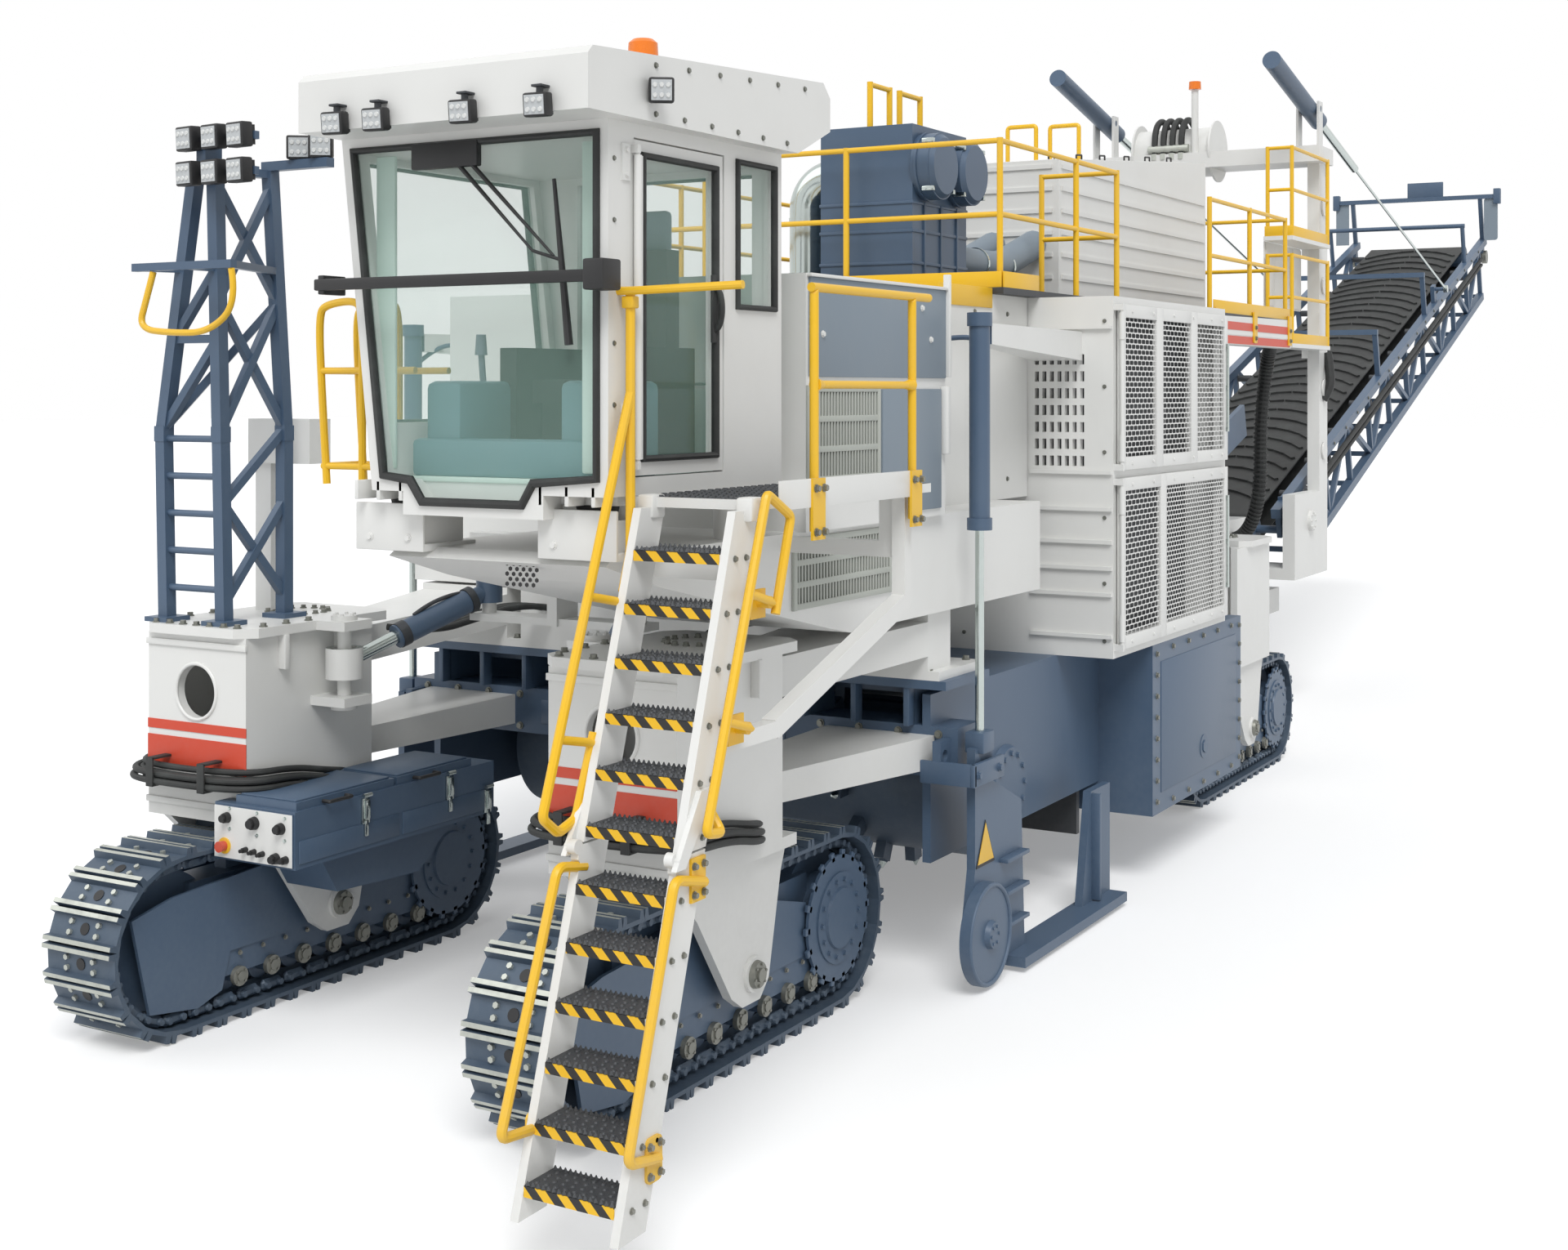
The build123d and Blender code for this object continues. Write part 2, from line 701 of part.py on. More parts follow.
with BuildPart() as cab:
    with BuildSketch(Plane.XZ.offset(-cab_y[1])):
        with BuildLine():
            Polyline((850, cab_z[0]), (cab_x[1], cab_z[0]), (cab_x[1], cab_z[1]), (cab_x[0], cab_z[1]), close=True)
        make_face()
    extrude(amount=cab_y[1] - cab_y[0])
    block((1060, 1960), (cab_y[0], cab_y[0] + 160), (3330, cab_z[0] + 10))
    with BuildSketch(Plane.XZ.offset(-cab_y[1] + cab_wall)):
        with BuildLine():
            Polyline((925, 3520), (2280, 3520), (2280, 5220), (720, 5220), close=True)
        make_face()
    extrude(amount=cab_y[1] - cab_y[0] - 2 * cab_wall, mode=Mode.SUBTRACT)
    with BuildSketch(Plane.XZ.offset(-cab_y[0] - 100)):
        with BuildLine():
            Polyline(*screen_outline, close=True)
        make_face()
    extrude(amount=110, mode=Mode.SUBTRACT)
    block((1000, 2200), (cab_y[1] - 100, cab_y[1] + 10), (4000, 5180), Mode.SUBTRACT)
    block((2270, 2360), door_y, door_z, Mode.SUBTRACT)
    block((2270, 2360), (-4100, -3700), (4420, 5200), Mode.SUBTRACT)
    block((600, 1000), (-5180, -3750), (3800, 5180), Mode.SUBTRACT)
    cab_hinge = (2378, -5085)
    rod((*cab_hinge, door_z[0] + 40), (*cab_hinge, door_z[1] - 40), 12)
    for z in (door_z[0] + 40, door_z[1] - 80):
        block((2345, 2392), (-5105, -5079), (z, z + 40))
keep("cab_shell", cab)

with BuildPart() as cab_door:
    block((2285, 2345), (door_y[0] + door_gap, door_y[1] - door_gap), (door_z[0] + door_gap, door_z[1] - door_gap))
    block((2280, 2350), (door_y[0] + 80, door_y[1] - 80), (door_z[0] + 90, door_z[1] - 80), Mode.SUBTRACT)
    rod((*cab_hinge, door_z[0] + 90), (*cab_hinge, door_z[1] - 90), 20)
    block((2330, 2378), (door_y[0] + door_gap, door_y[0] + 40), (door_z[0] + 90, door_z[1] - 90))
    rod((*cab_hinge, door_z[0]), (*cab_hinge, door_z[1]), 12 + pin_gap, Mode.SUBTRACT)
keep("cab_door", cab_door)

with BuildPart() as door_glass:
    block((2305, 2317), (door_y[0] + 80, door_y[1] - 80), (door_z[0] + 90, door_z[1] - 80))
keep("cab_door_glass", door_glass)

with BuildPart() as glass:
    with BuildSketch(Plane.XZ.offset(-cab_y[0] - 40)):
        with BuildLine():
            Polyline(*screen_outline, close=True)
        make_face()
    extrude(amount=12)
    block((1000, 2200), (cab_y[1] - 40, cab_y[1] - 28), (4000, 5180))
    block((2310, 2322), (-4100, -3700), (4420, 5200))
    with BuildSketch(Plane.XZ.offset(3750)):
        with BuildLine():
            Polyline((838, 3800), (850, 3800), (693, 5180), (681, 5180), close=True)
        make_face()
    extrude(amount=1430)
keep("cab_glass", glass)

beacon_at = (1980, -4450)
beacon_seat_z = 5690

with BuildPart() as roof:
    outline = (
        (-5620, 5290),
        (-5620, 5550),
        (-5580, 5590),
        (-3330, 5720),
        (-3250, 5640),
        (-3250, 5450),
        (-3620, 5290),
    )
    side_sheet(outline, roof_x)
    # flat seat for the beacon
    block((beacon_at[0] - 110, beacon_at[0] + 110), (beacon_at[1] - 110, beacon_at[1] + 110), (roof_z[1], beacon_seat_z))
keep("cab_roof", roof)

with BuildPart() as seat:
    block((1350, 1900), (-4500, -3950), (3520, 3900))
    block((1330, 1920), (-4560, -3930), (3900, 4030))
    block((1380, 1870), (-4060, -3930), (4030, 4750))
    for x in (1220, 1940):
        block((x, x + 110), (-4700, -4050), (3520, 4200))
keep("cab_seat", seat)

with BuildPart() as lamps:
    for x in (850, 1130, 1680, 2100):
        block((x, x + 110), (-5600, -5520), (5180, 5290))
    block((roof_x[1], roof_x[1] + 80), (-5180, -5030), (5370, 5500))
    rod((*beacon_at, beacon_seat_z), (*beacon_at, beacon_seat_z + 140), 80)
keep("cab_lamps", lamps)

# Platform and access ladder


def ladder_y(z):
    """Middle of the stringers at a height."""
    return first_step_y + (z - first_step_z) * step_run / step_rise


fold_z = 1880
fold_axis = (ladder_y(fold_z) - 145, fold_z - 15)

with BuildPart() as platform:
    block((2370, 3050), platform_y, (platform_z - 50, platform_z))
    for y in (-4900, -3300):
        block((2250, 2900), (y - 40, y + 40), (3040, 3130))
        block((2820, 2900), (y - 40, y + 40), (3130, platform_z - 50))
    bar((2960, -3340, platform_z - 50), (2960, -3340, 2800), 80, 80)
    bar((2960, -3300, 2815), (2960, -4790, 2310), 80, 100)
    bar((2960, -4760, 2310), (2960, -5310, 2310), 80, 80)
keep("platform", platform)


def stringers(low, high):
    """Both stringers between two heights."""
    half = stringer[1] / 2
    outline = (
        (ladder_y(low) - half, low),
        (ladder_y(low) + half, low),
        (ladder_y(high) + half, high),
        (ladder_y(high) - half, high),
    )
    side_sheet(outline, (ladder_x[0], ladder_x[0] + stringer[0]))
    side_sheet(outline, (ladder_x[1] - stringer[0], ladder_x[1]))


def steps(first, last):
    """Treads between the stringers."""
    for step in range(first, last):
        z = first_step_z + step * step_rise
        y = ladder_y(z)
        block((ladder_x[0] + stringer[0], ladder_x[1] - stringer[0]), (y - step_depth / 2, y + step_depth / 2), (z - 45, z))


with BuildPart() as upper_ladder:
    stringers(fold_z, platform_z - 50)
    steps(ladder_split, step_count)
    for x, out in ((ladder_x[0], -28), (ladder_x[1], 28)):
        outline = (
            (fold_axis[0] - 40, fold_axis[1] - 40),
            (fold_axis[0] + 40, fold_axis[1] - 40),
            (ladder_y(2150) + 60, 2150),
            (ladder_y(2150) - 60, 2150),
        )
        side_sheet(outline, (x, x + out))
        inward = -1 if out > 0 else 1
        rod((x + out, *fold_axis), (x + inward * stringer[0], *fold_axis), 15)
keep("ladder_upper", upper_ladder)

with BuildPart() as lower_ladder:
    stringers(300, fold_z - 10)
    steps(0, ladder_split)
    for x in (ladder_x[0] + 0.5, ladder_x[1] - stringer[0]):
        rod((x, *fold_axis), (x + stringer[0] - 0.5, *fold_axis), 34)
        side_sheet(
            (
                (fold_axis[0], fold_axis[1] + 10),
                (fold_axis[0], fold_axis[1] - 60),
                (ladder_y(1700), 1700),
                (ladder_y(1700) + 60, 1820),
            ),
            (x, x + stringer[0] - 0.5),
        )
    rod((ladder_x[0] - 10, *fold_axis), (ladder_x[1] + 10, *fold_axis), 15 + pin_gap, Mode.SUBTRACT)
keep("ladder_lower", lower_ladder)

# Hand rails

rail_low = platform_z
rail_top = platform_z + 1050
inner_rail_x, outer_rail_x = 2462, 3085
stringer_front = -stringer[1] / 2 - 6.6  # where a level stub meets the sloped stringer
with BuildPart() as rails:
    rail([(3000, -4400, rail_top), (3000, -3200, rail_top), (2400, -3200, rail_top)])
    rail([(3000, -4400, rail_low + 550), (3000, -3200, rail_low + 550), (2400, -3200, rail_low + 550)])
    for x, y in ((3000, -4400), (3000, -3200)):
        post(x, y, rail_low, rail_top)
    # inner rail of the ladder, up past the platform
    at_foot = (inner_rail_x, ladder_y(2080) + stringer_front - 210, 2080)
    at_deck = (inner_rail_x, -5400, 3480)
    at_top = (inner_rail_x, -5300, 4440)
    rod(at_foot, at_deck, post_radius)
    rod(at_deck, at_top, post_radius)
    for z in (2130, 2950):
        share = (z - at_foot[2]) / (at_deck[2] - at_foot[2])
        y = at_foot[1] + share * (at_deck[1] - at_foot[1])
        rod((inner_rail_x, y, z), (inner_rail_x, ladder_y(z) + stringer_front, z), rail_radius)
    # outer rail, on the outside of the stringer, with a loop at its head
    low, high = 2010, 3380
    rod((outer_rail_x, ladder_y(low), low), (outer_rail_x, ladder_y(high), high), post_radius)
    rod((outer_rail_x, ladder_y(high), high - 15), (outer_rail_x, ladder_y(high) + 270, high - 15), rail_radius)
    rod((outer_rail_x, ladder_y(high) + 250, high + 10), (outer_rail_x, ladder_y(2930) + 170, 2930), rail_radius)
    rod((outer_rail_x, ladder_y(2930) - 20, 2945), (outer_rail_x, ladder_y(2930) + 190, 2945), rail_radius)
    for z in (2250, 2700, 3200):
        rod((ladder_x[1], ladder_y(z), z), (outer_rail_x, ladder_y(z), z), rail_radius)
keep("platform_rails", rails)

deck_rail_z = deck_top + rail_height
# x, y of the deck's rail posts, in order round each run
deck_runs = (
    ((-1950, 350), (-650, 350), (650, 350), (1950, 350), (1950, 1900), (1950, 2850), (1260, 2850)),
    ((-1950, 350), (-1950, 2000), (-1950, 3800), (-1950, 5900), (-1950, 8150), (0, 8150), (1950, 8150)),
    ((1950, 5450), (1950, 6800), (1950, 8150)),
)
with BuildPart() as deck_rails:
    for run in deck_runs:
        for level in (deck_rail_z, deck_top + 550):
            rail([(x, y, level) for x, y in run])
        for x, y in run:
            post(x, y, deck_top, deck_rail_z)
    # loops on the air cleaner
    for y in ((560, 900), (1080, 1460)):
        for end in y:
            rod((750, end, 6040), (750, end, 6400), post_radius)
        rod((750, y[0], 6380), (750, y[1], 6380), rail_radius)
keep("deck_rails", deck_rails)

# Light mast and control box on the right front leg

mast_foot_z = leg_top_z + leg_plate
mast_levels = (mast_foot_z + 15, 3690, 5420)  # feet, knees and heads of its legs
# x, y of each leg at those levels
mast_legs = {
    "outer": ((-1970, -4100), (-2000, -4100), (-1700, -4100)),
    "inner": ((-1460, -4100), (-1490, -4100), (-1540, -4100)),
    "back": ((-1460, -3570), (-1460, -3570), (-1460, -3700)),
}
# leg and height at both ends of each brace
mast_braces = (
    ("inner", 2620, "back", 3250),
    ("inner", 3250, "back", 2620),
    ("inner", 3250, "back", 3720),
    ("inner", 3720, "back", 4550),
    ("inner", 4550, "back", 3720),
    ("inner", 4550, "back", 5300),
    ("inner", 5300, "back", 4550),
    ("outer", 3720, "back", 4550),
    ("outer", 3720, "inner", 4300),
    ("outer", 4300, "inner", 4300),
    ("outer", 4300, "inner", 4750),
    ("outer", 5380, "inner", 5380),
    ("inner", 5380, "back", 5380),
    ("outer", 5380, "back", 5380),
)
lamp_rows = (5340, 5560)
lamp_columns = (-1610, -1390, -1170)


def mast_point(leg, z):
    """Point on a leg of the mast at a height."""
    first = 0 if z < mast_levels[1] else 1
    share = (z - mast_levels[first]) / (mast_levels[first + 1] - mast_levels[first])
    start, end = mast_legs[leg][first : first + 2]
    return start[0] + share * (end[0] - start[0]), start[1] + share * (end[1] - start[1]), z


with BuildPart() as mast:
    for leg in mast_legs.values():
        x, y = leg[0]
        block((x - 100, x + 100), (y - 100, y + 100), (mast_foot_z, mast_foot_z + 30))
        path = [(*place, level) for place, level in zip(leg, mast_levels)]
        for start, end in zip(path, path[1:]):
            bar(start, end, 80, 80)
        x, y = leg[1]
        block((x - 44, x + 44), (y - 44, y + 44), (mast_levels[1] - 50, mast_levels[1] + 50))
    for z in range(2700, 3700, 240):
        rod((-1985, -4100, z), (-1475, -4100, z), 22)
    for leg_a, z_a, leg_b, z_b in mast_braces:
        bar(mast_point(leg_a, z_a), mast_point(leg_b, z_b), 52, 52)
    # lamp rack
    block((-1590, -1510), (-4210, -4070), (5290, 5640))
    for z in lamp_rows:
        block((-1700, -1085), (-4210, -4170), (z - 25, z + 25))
    block((-1500, -930), (-3740, -3670), (5400, 5460))
    # guard ring
    bar((-1970, -4370, 4750), (-1100, -4370, 4750), 50, 50)
    for x, leg in ((-1930, "outer"), (-1530, "inner"), (-1140, "back")):
        bar((x, -4370, 4750), mast_point(leg, 4750), 46, 46)
keep("light_mast", mast)

with BuildPart() as box:
    leg_face = -front_track_x + wall_x[1]
    block((leg_face, -630), (-4330, -2420), (1070, 1420))
    block((-1300, leg_face), (-4330, -4205), (1070, 1420))
    block((-1290, -640), (-4345, -4330), (1085, 1405))
    side_sheet(((-3950, 1070), (-3780, 800), (-3000, 760), (-2600, 1070)), (leg_face - 60, -800))
    # the rear lid stops short of the swing arm when the track is steered
    for y in ((-4300, -3420), (-3390, -2640)):
        block((leg_face + 20, -650), y, (1420, 1470))
keep("control_box", box)

# Primary conveyor through the frame

primary_start = (1500, 900)
primary_end = (10900, 3600)
with BuildPart() as primary:
    for side in (1, -1):
        bar((side * 670, *primary_start), (side * 670, *primary_end), 60, 400)
    bar((0, *primary_start), (0, *primary_end), 1280, 60)
    rise = (primary_end[1] - primary_start[1]) / (primary_end[0] - primary_start[0])
    for y in (2500, 8250):
        z = primary_start[1] + (y - primary_start[0]) * rise
        block((-1000, 1000), (y - 40, y + 40), (z - 60, z + 60))
    for side in (1, -1):
        block(sided(side, 900, 1000), (8210, 8290), (beam_z[1], z + 60))
keep("primary_conveyor", primary)

# Slewing gantry

gantry_floors = (4530, 5810)
gantry_deck_x = (1210, 1560)
gantry_deck_y = (slew_y - 1000, slew_y + 760)

with BuildPart() as gantry:
    base = slew_base_z + seat_gap
    with Locations((0, slew_y, base)):
        Cylinder(slew_radius, 150, align=(Align.CENTER, Align.CENTER, Align.MIN))
    block((-tower_x[1], tower_x[1]), (slew_y - 400, slew_y + 400), (base + 130, base + 270))
    for side in (1, -1):
        block(sided(side, *tower_x), (slew_y - 400, slew_y + tower_y[1]), (base + 130, 2700))
        block(sided(side, *tower_x), (slew_y + tower_y[0], slew_y + tower_y[1]), (2600, tower_top_z))
        for lug in (stay_x - 145, stay_x + 115):
            block(sided(side, lug, lug + 30), (stay_top[0] - 90, stay_top[0] + 90), (tower_top_z - 50, stay_top[1] + 90))
    block((-1500, 1500), (stay_top[0] - 90, slew_y + tower_y[1]), (tower_top_z - 200, tower_top_z))
    for z in gantry_floors:
        block(gantry_deck_x, gantry_deck_y, (z - 50, z))
        block((gantry_deck_x[0], tower_x[0] + 10), (slew_y + 720, slew_y + 850), (z - 150, z))
    # guide for the conveyor's hoses
    rod((-950, slew_y + 850, tower_top_z + 40), (80, slew_y + 850, tower_top_z + 40), 320)
    rod((-1600, *stay_top), (1600, *stay_top), trunnion_radius + pin_gap, Mode.SUBTRACT)
    rod((-1600, boom_pivot_y, boom_pivot_z), (1600, boom_pivot_y, boom_pivot_z), boom_pin_radius + pin_gap, Mode.SUBTRACT)
keep("slew_gantry", gantry)

with BuildPart() as gantry_rails:
    near, far = gantry_deck_y[0] + 40, gantry_deck_y[1] - 60
    corners_xy = ((gantry_deck_x[0] + 40, near), (gantry_deck_x[1] - 20, near), (gantry_deck_x[1] - 20, far))
    for floor in gantry_floors:
        top = floor + 1050
        for level in (top, floor + 550):
            rail([(x, y, level) for x, y in corners_xy])
        for x, y in corners_xy:
            post(x, y, floor, top)
keep("gantry_rails", gantry_rails)

# Discharge conveyor, laid out along its own slope

slope = (cos(radians(boom_angle)), sin(radians(boom_angle)))


def on_boom(x, along, above):
    """Point of the machine from a place along and above the conveyor's pivot line."""
    y = boom_pivot_y + along * slope[0] - above * slope[1]
    z = boom_pivot_z + along * slope[1] + above * slope[0]
    return x, y, z


tail, tip = -350, boom_length - 200
chord_top, chord_low = 260, 260 - truss_depth
truss_start, truss_end = 600, boom_length - 600
# hoops over the belt: place along, half width, height over the chord
belt_hoops = ((5200, boom_half_width + 40, 720), (8600, boom_half_width + 40, 720), (13900, 1500, 850))
with BuildPart() as conveyor:
    for side in (1, -1):
        x = side * boom_half_width
        bar(on_boom(x, -500, chord_top), on_boom(x, boom_length, chord_top), 120, 120)
        bar(on_boom(x, truss_start, chord_low), on_boom(x, truss_end, chord_low), 120, 120)
        block(sided(side, boom_half_width - 60, boom_half_width + 60), (boom_pivot_y - 250, boom_pivot_y + 300), (2150, 2650))
        rod((side * boom_half_width, boom_pivot_y, boom_pivot_z), (side * tower_x[1], boom_pivot_y, boom_pivot_z), boom_pin_radius)
        pitch = (truss_end - truss_start) / truss_panels
        for panel in range(truss_panels + 1):
            along = truss_start + panel * pitch
            bar(on_boom(x, along, chord_low), on_boom(x, along, chord_top), 70, 70)
            if panel < truss_panels:
                ends = (chord_low, chord_top) if panel % 2 else (chord_top, chord_low)
                bar(on_boom(x, along, ends[0]), on_boom(x, along + pitch, ends[1]), 70, 70)
        bar(on_boom(x, stay_along, chord_top), on_boom(x, stay_along, stay_above + 60), 60, 160)
        rod(on_boom(x, stay_along, stay_above), on_boom(side * (stay_x - 40), stay_along, stay_above), 30)
    for panel in range(truss_panels + 1):
        along = truss_start + panel * pitch
        bar(on_boom(-boom_half_width, along, chord_low), on_boom(boom_half_width, along, chord_low), 70, 70)
    for along in (tail, tip):
        rod(on_boom(-boom_half_width, along, 0), on_boom(boom_half_width, along, 0), 50)
        rod(on_boom(-belt_width / 2, along, 0), on_boom(belt_width / 2, along, 0), belt_radius - belt_thickness - seat_gap)
        for side in (1, -1):
            x = side * boom_half_width
            bar(on_boom(x, along, -80), on_boom(x, along, chord_top), 60, 160)
    for along, reach, rise in belt_hoops:
        for side in (1, -1):
            x = side * boom_half_width
            bar(on_boom(x, along, chord_top), on_boom(x, along, chord_top + rise), 70, 70)
        bar(on_boom(-reach, along, chord_top + rise), on_boom(reach, along, chord_top + rise), 76, 76)
keep("conveyor_frame", conveyor)

with BuildPart() as belt:
    side_plane = Plane(origin=(-belt_width / 2, boom_pivot_y, boom_pivot_z), x_dir=(0, *slope), z_dir=(1, 0, 0))
    with BuildSketch(side_plane):
        with Locations(((tail + tip) / 2, 0)):
            SlotCenterToCenter(tip - tail, 2 * belt_radius)
            SlotCenterToCenter(tip - tail, 2 * (belt_radius - belt_thickness), mode=Mode.SUBTRACT)
    extrude(amount=belt_width)
keep("conveyor_belt", belt)

# Luffing cylinders and stays, opened at the stay's lower eye

stay_span = (stay_foot[0] - stay_top[0], stay_foot[1] - stay_top[1])
stay_length = sqrt(stay_span[0] ** 2 + stay_span[1] ** 2)


def on_stay(x, along):
    """Point of the machine at a distance from the trunnion towards the conveyor."""
    share = along / stay_length
    return x, stay_top[0] + share * stay_span[0], stay_top[1] + share * stay_span[1]


with BuildPart() as stay_barrels:
    for side in (1, -1):
        x = side * stay_x
        rod(on_stay(x, stay_barrel[0]), on_stay(x, stay_barrel[1]), stay_barrel_radius)
        rod((side * (stay_x - 140), *stay_top), (side * (stay_x + 140), *stay_top), trunnion_radius)
        rod(on_stay(x, stay_barrel[0] + 60), on_stay(x, stay_barrel[1] + 10), stay_rod_radius + pin_gap, Mode.SUBTRACT)
keep("luff_barrels", stay_barrels)

with BuildPart() as stays:
    for side in (1, -1):
        x = side * stay_x
        rod(on_stay(x, stay_rod[0]), on_stay(x, stay_rod[1]), stay_rod_radius)
        rod(on_stay(x, stay_rod[1] - 20), on_stay(x, stay_length), stay_rope_radius)
        eye = on_stay(x, stay_length)
        rod((x - 30, *eye[1:]), (x + 30, *eye[1:]), 60)
keep("luff_stays", stays)

# Lamps on the mast

with BuildPart() as mast_lamps:
    for x in lamp_columns:
        for z in lamp_rows:
            block((x - 85, x + 85), (-4300, -4210), (z - 80, z + 80))
    for x in (-1200, -1010):
        block((x - 80, x + 80), (-3750, -3660), (5460, 5620))
keep("mast_lamps", mast_lamps)

# Hand rails of the folding ladder section

with BuildPart() as fold_rails:
    low, high = 640, 1760
    # inner rail, in front of its stringer
    foot = ladder_y(low) + stringer_front - 270
    head = ladder_y(high) + stringer_front - 110
    rod((inner_rail_x, foot, low - 40), (inner_rail_x, head, high + 40), post_radius)
    for z, y in ((low, foot), (high, head)):
        rod((inner_rail_x, y, z), (inner_rail_x, ladder_y(z) + stringer_front, z), rail_radius)
    # outer rail, on the outside of its stringer
    rod((outer_rail_x, ladder_y(low) - 60, low), (outer_rail_x, ladder_y(high), high), post_radius)
    for z, y in ((low + 40, ladder_y(low + 40) - 55), (high - 40, ladder_y(high - 40))):
        rod((ladder_x[1], y, z), (outer_rail_x, y, z), rail_radius)
keep("ladder_lower_rails", fold_rails)

print(len(parts), "pieces")
os.makedirs("parts", exist_ok=True)
for name, piece in parts.items():
    export_step(piece, f"parts/{name}.step")
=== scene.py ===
import math

import bmesh
import bpy
from mathutils import Matrix, Vector
from mathutils.geometry import interpolate_bezier


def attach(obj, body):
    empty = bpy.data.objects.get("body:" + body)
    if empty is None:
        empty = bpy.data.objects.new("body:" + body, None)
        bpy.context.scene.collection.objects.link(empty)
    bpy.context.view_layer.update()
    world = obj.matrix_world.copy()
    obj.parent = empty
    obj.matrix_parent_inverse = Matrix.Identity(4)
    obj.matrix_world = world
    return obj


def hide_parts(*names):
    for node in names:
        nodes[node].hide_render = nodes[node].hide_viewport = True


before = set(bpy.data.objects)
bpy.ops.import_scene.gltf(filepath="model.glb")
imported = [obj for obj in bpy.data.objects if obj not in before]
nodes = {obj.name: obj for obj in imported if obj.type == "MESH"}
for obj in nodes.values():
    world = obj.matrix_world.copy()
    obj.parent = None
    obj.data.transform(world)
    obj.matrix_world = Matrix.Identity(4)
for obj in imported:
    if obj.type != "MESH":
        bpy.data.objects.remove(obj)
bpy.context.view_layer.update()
print("frame loaded,", len(nodes), "nodes")


# finishes: effects that several finishes share are node groups
def newGroup(name, inputs, outputs):
    group = bpy.data.node_groups.new(name, "ShaderNodeTree")
    for label, kind, value in inputs:
        socket = group.interface.new_socket(label, in_out="INPUT", socket_type=kind)
        socket.default_value = value
    for label, kind in outputs:
        group.interface.new_socket(label, in_out="OUTPUT", socket_type=kind)
    return group, group.nodes.new("NodeGroupInput"), group.nodes.new("NodeGroupOutput")


def addNode(tree, kind, values, **settings):
    node = tree.nodes.new("ShaderNode" + kind)
    for label, setting in settings.items():
        setattr(node, label, setting)
    for key, value in values.items():
        if isinstance(value, bpy.types.NodeSocket):
            tree.links.new(value, node.inputs[key])
        else:
            node.inputs[key].default_value = value
    return node


def product(tree, first, second):
    return addNode(tree, "Math", {0: first, 1: second}, operation="MULTIPLY").outputs["Value"]


def weatheredGroup():
    colour, number = "NodeSocketColor", "NodeSocketFloat"
    group, inside, outside = newGroup(
        "weathered",
        [
            ("Color", colour, (0.8, 0.8, 0.8, 1)),
            ("Dust Color", colour, (0.42, 0.40, 0.36, 1)),
            ("Roughness", number, 0.4),
            ("Dust", number, 0.2),
            ("Low Dust", number, 0.4),
            ("Scale", number, 1.5),
        ],
        [("Color", colour), ("Roughness", number), ("Height", number)],
    )
    given = inside.outputs
    place = addNode(group, "TexCoord", {}).outputs["Object"]
    grain = {"Vector": place, "Scale": given["Scale"], "Detail": 5, "Roughness": 0.62}
    broad = addNode(group, "TexNoise", grain)
    fine = addNode(group, "TexNoise", {"Vector": place, "Scale": 24, "Detail": 3})
    spread = broad.outputs["Fac"]
    patches = addNode(group, "MapRange", {"Value": spread, "From Min": 0.45, "From Max": 0.72})
    patchDust = product(group, patches.outputs["Result"], given["Dust"])
    axes = addNode(group, "SeparateXYZ", {"Vector": place})
    nearGround = addNode(group, "MapRange", {"Value": axes.outputs["Z"], "From Min": 1.9, "From Max": 0.1})
    lowDust = product(group, nearGround.outputs["Result"], given["Low Dust"])
    speckled = product(group, lowDust, fine.outputs["Fac"])
    dusty = addNode(group, "Math", {0: patchDust, 1: speckled}, operation="ADD", use_clamp=True)
    mask = dusty.outputs["Value"]
    colors = {"Factor": mask, "A": given["Color"], "B": given["Dust Color"]}
    tint = addNode(group, "Mix", colors, data_type="RGBA")
    dull = addNode(group, "Mix", {"Factor": mask, "A": given["Roughness"], "B": 0.85})
    group.links.new(tint.outputs["Result"], outside.inputs["Color"])
    group.links.new(dull.outputs["Result"], outside.inputs["Roughness"])
    group.links.new(fine.outputs["Fac"], outside.inputs["Height"])
    return group


weathered = weatheredGroup()


def finish(
    name, color, roughness=0.4, metallic=0.0, dust=0.15, lowDust=0.5, scale=1.5, bump=0.0, dustColor=None
):
    material = plainFinish(name, color, metallic=metallic)
    tree = material.node_tree
    shader = tree.nodes["Principled BSDF"]
    values = {"Color": (*color, 1), "Roughness": roughness}
    values.update({"Dust": dust, "Low Dust": lowDust, "Scale": scale})
    if dustColor:
        values["Dust Color"] = (*dustColor, 1)
    look = tree.nodes.new("ShaderNodeGroup")
    look.node_tree = weathered
    for label, value in values.items():
        look.inputs[label].default_value = value
    tree.links.new(look.outputs["Color"], shader.inputs["Base Color"])
    tree.links.new(look.outputs["Roughness"], shader.inputs["Roughness"])
    if bump:
        height = look.outputs["Height"]
        relief = addNode(tree, "Bump", {"Strength": bump, "Distance": 0.01, "Height": height})
        tree.links.new(relief.outputs["Normal"], shader.inputs["Normal"])
    return material


def plainFinish(name, color, roughness=0.4, metallic=0.0):
    material = bpy.data.materials.new(name)
    material.use_nodes = True
    material.diffuse_color = (*color, 1)
    shader = material.node_tree.nodes["Principled BSDF"]
    shader.inputs["Base Color"].default_value = (*color, 1)
    shader.inputs["Roughness"].default_value = roughness
    shader.inputs["Metallic"].default_value = metallic
    return material


def glassFinish(name, color, alpha):
    material = plainFinish(name, color, roughness=0.04)
    shader = material.node_tree.nodes["Principled BSDF"]
    shader.inputs["Alpha"].default_value = alpha
    shader.inputs["Specular IOR Level"].default_value = 0.9
    return material


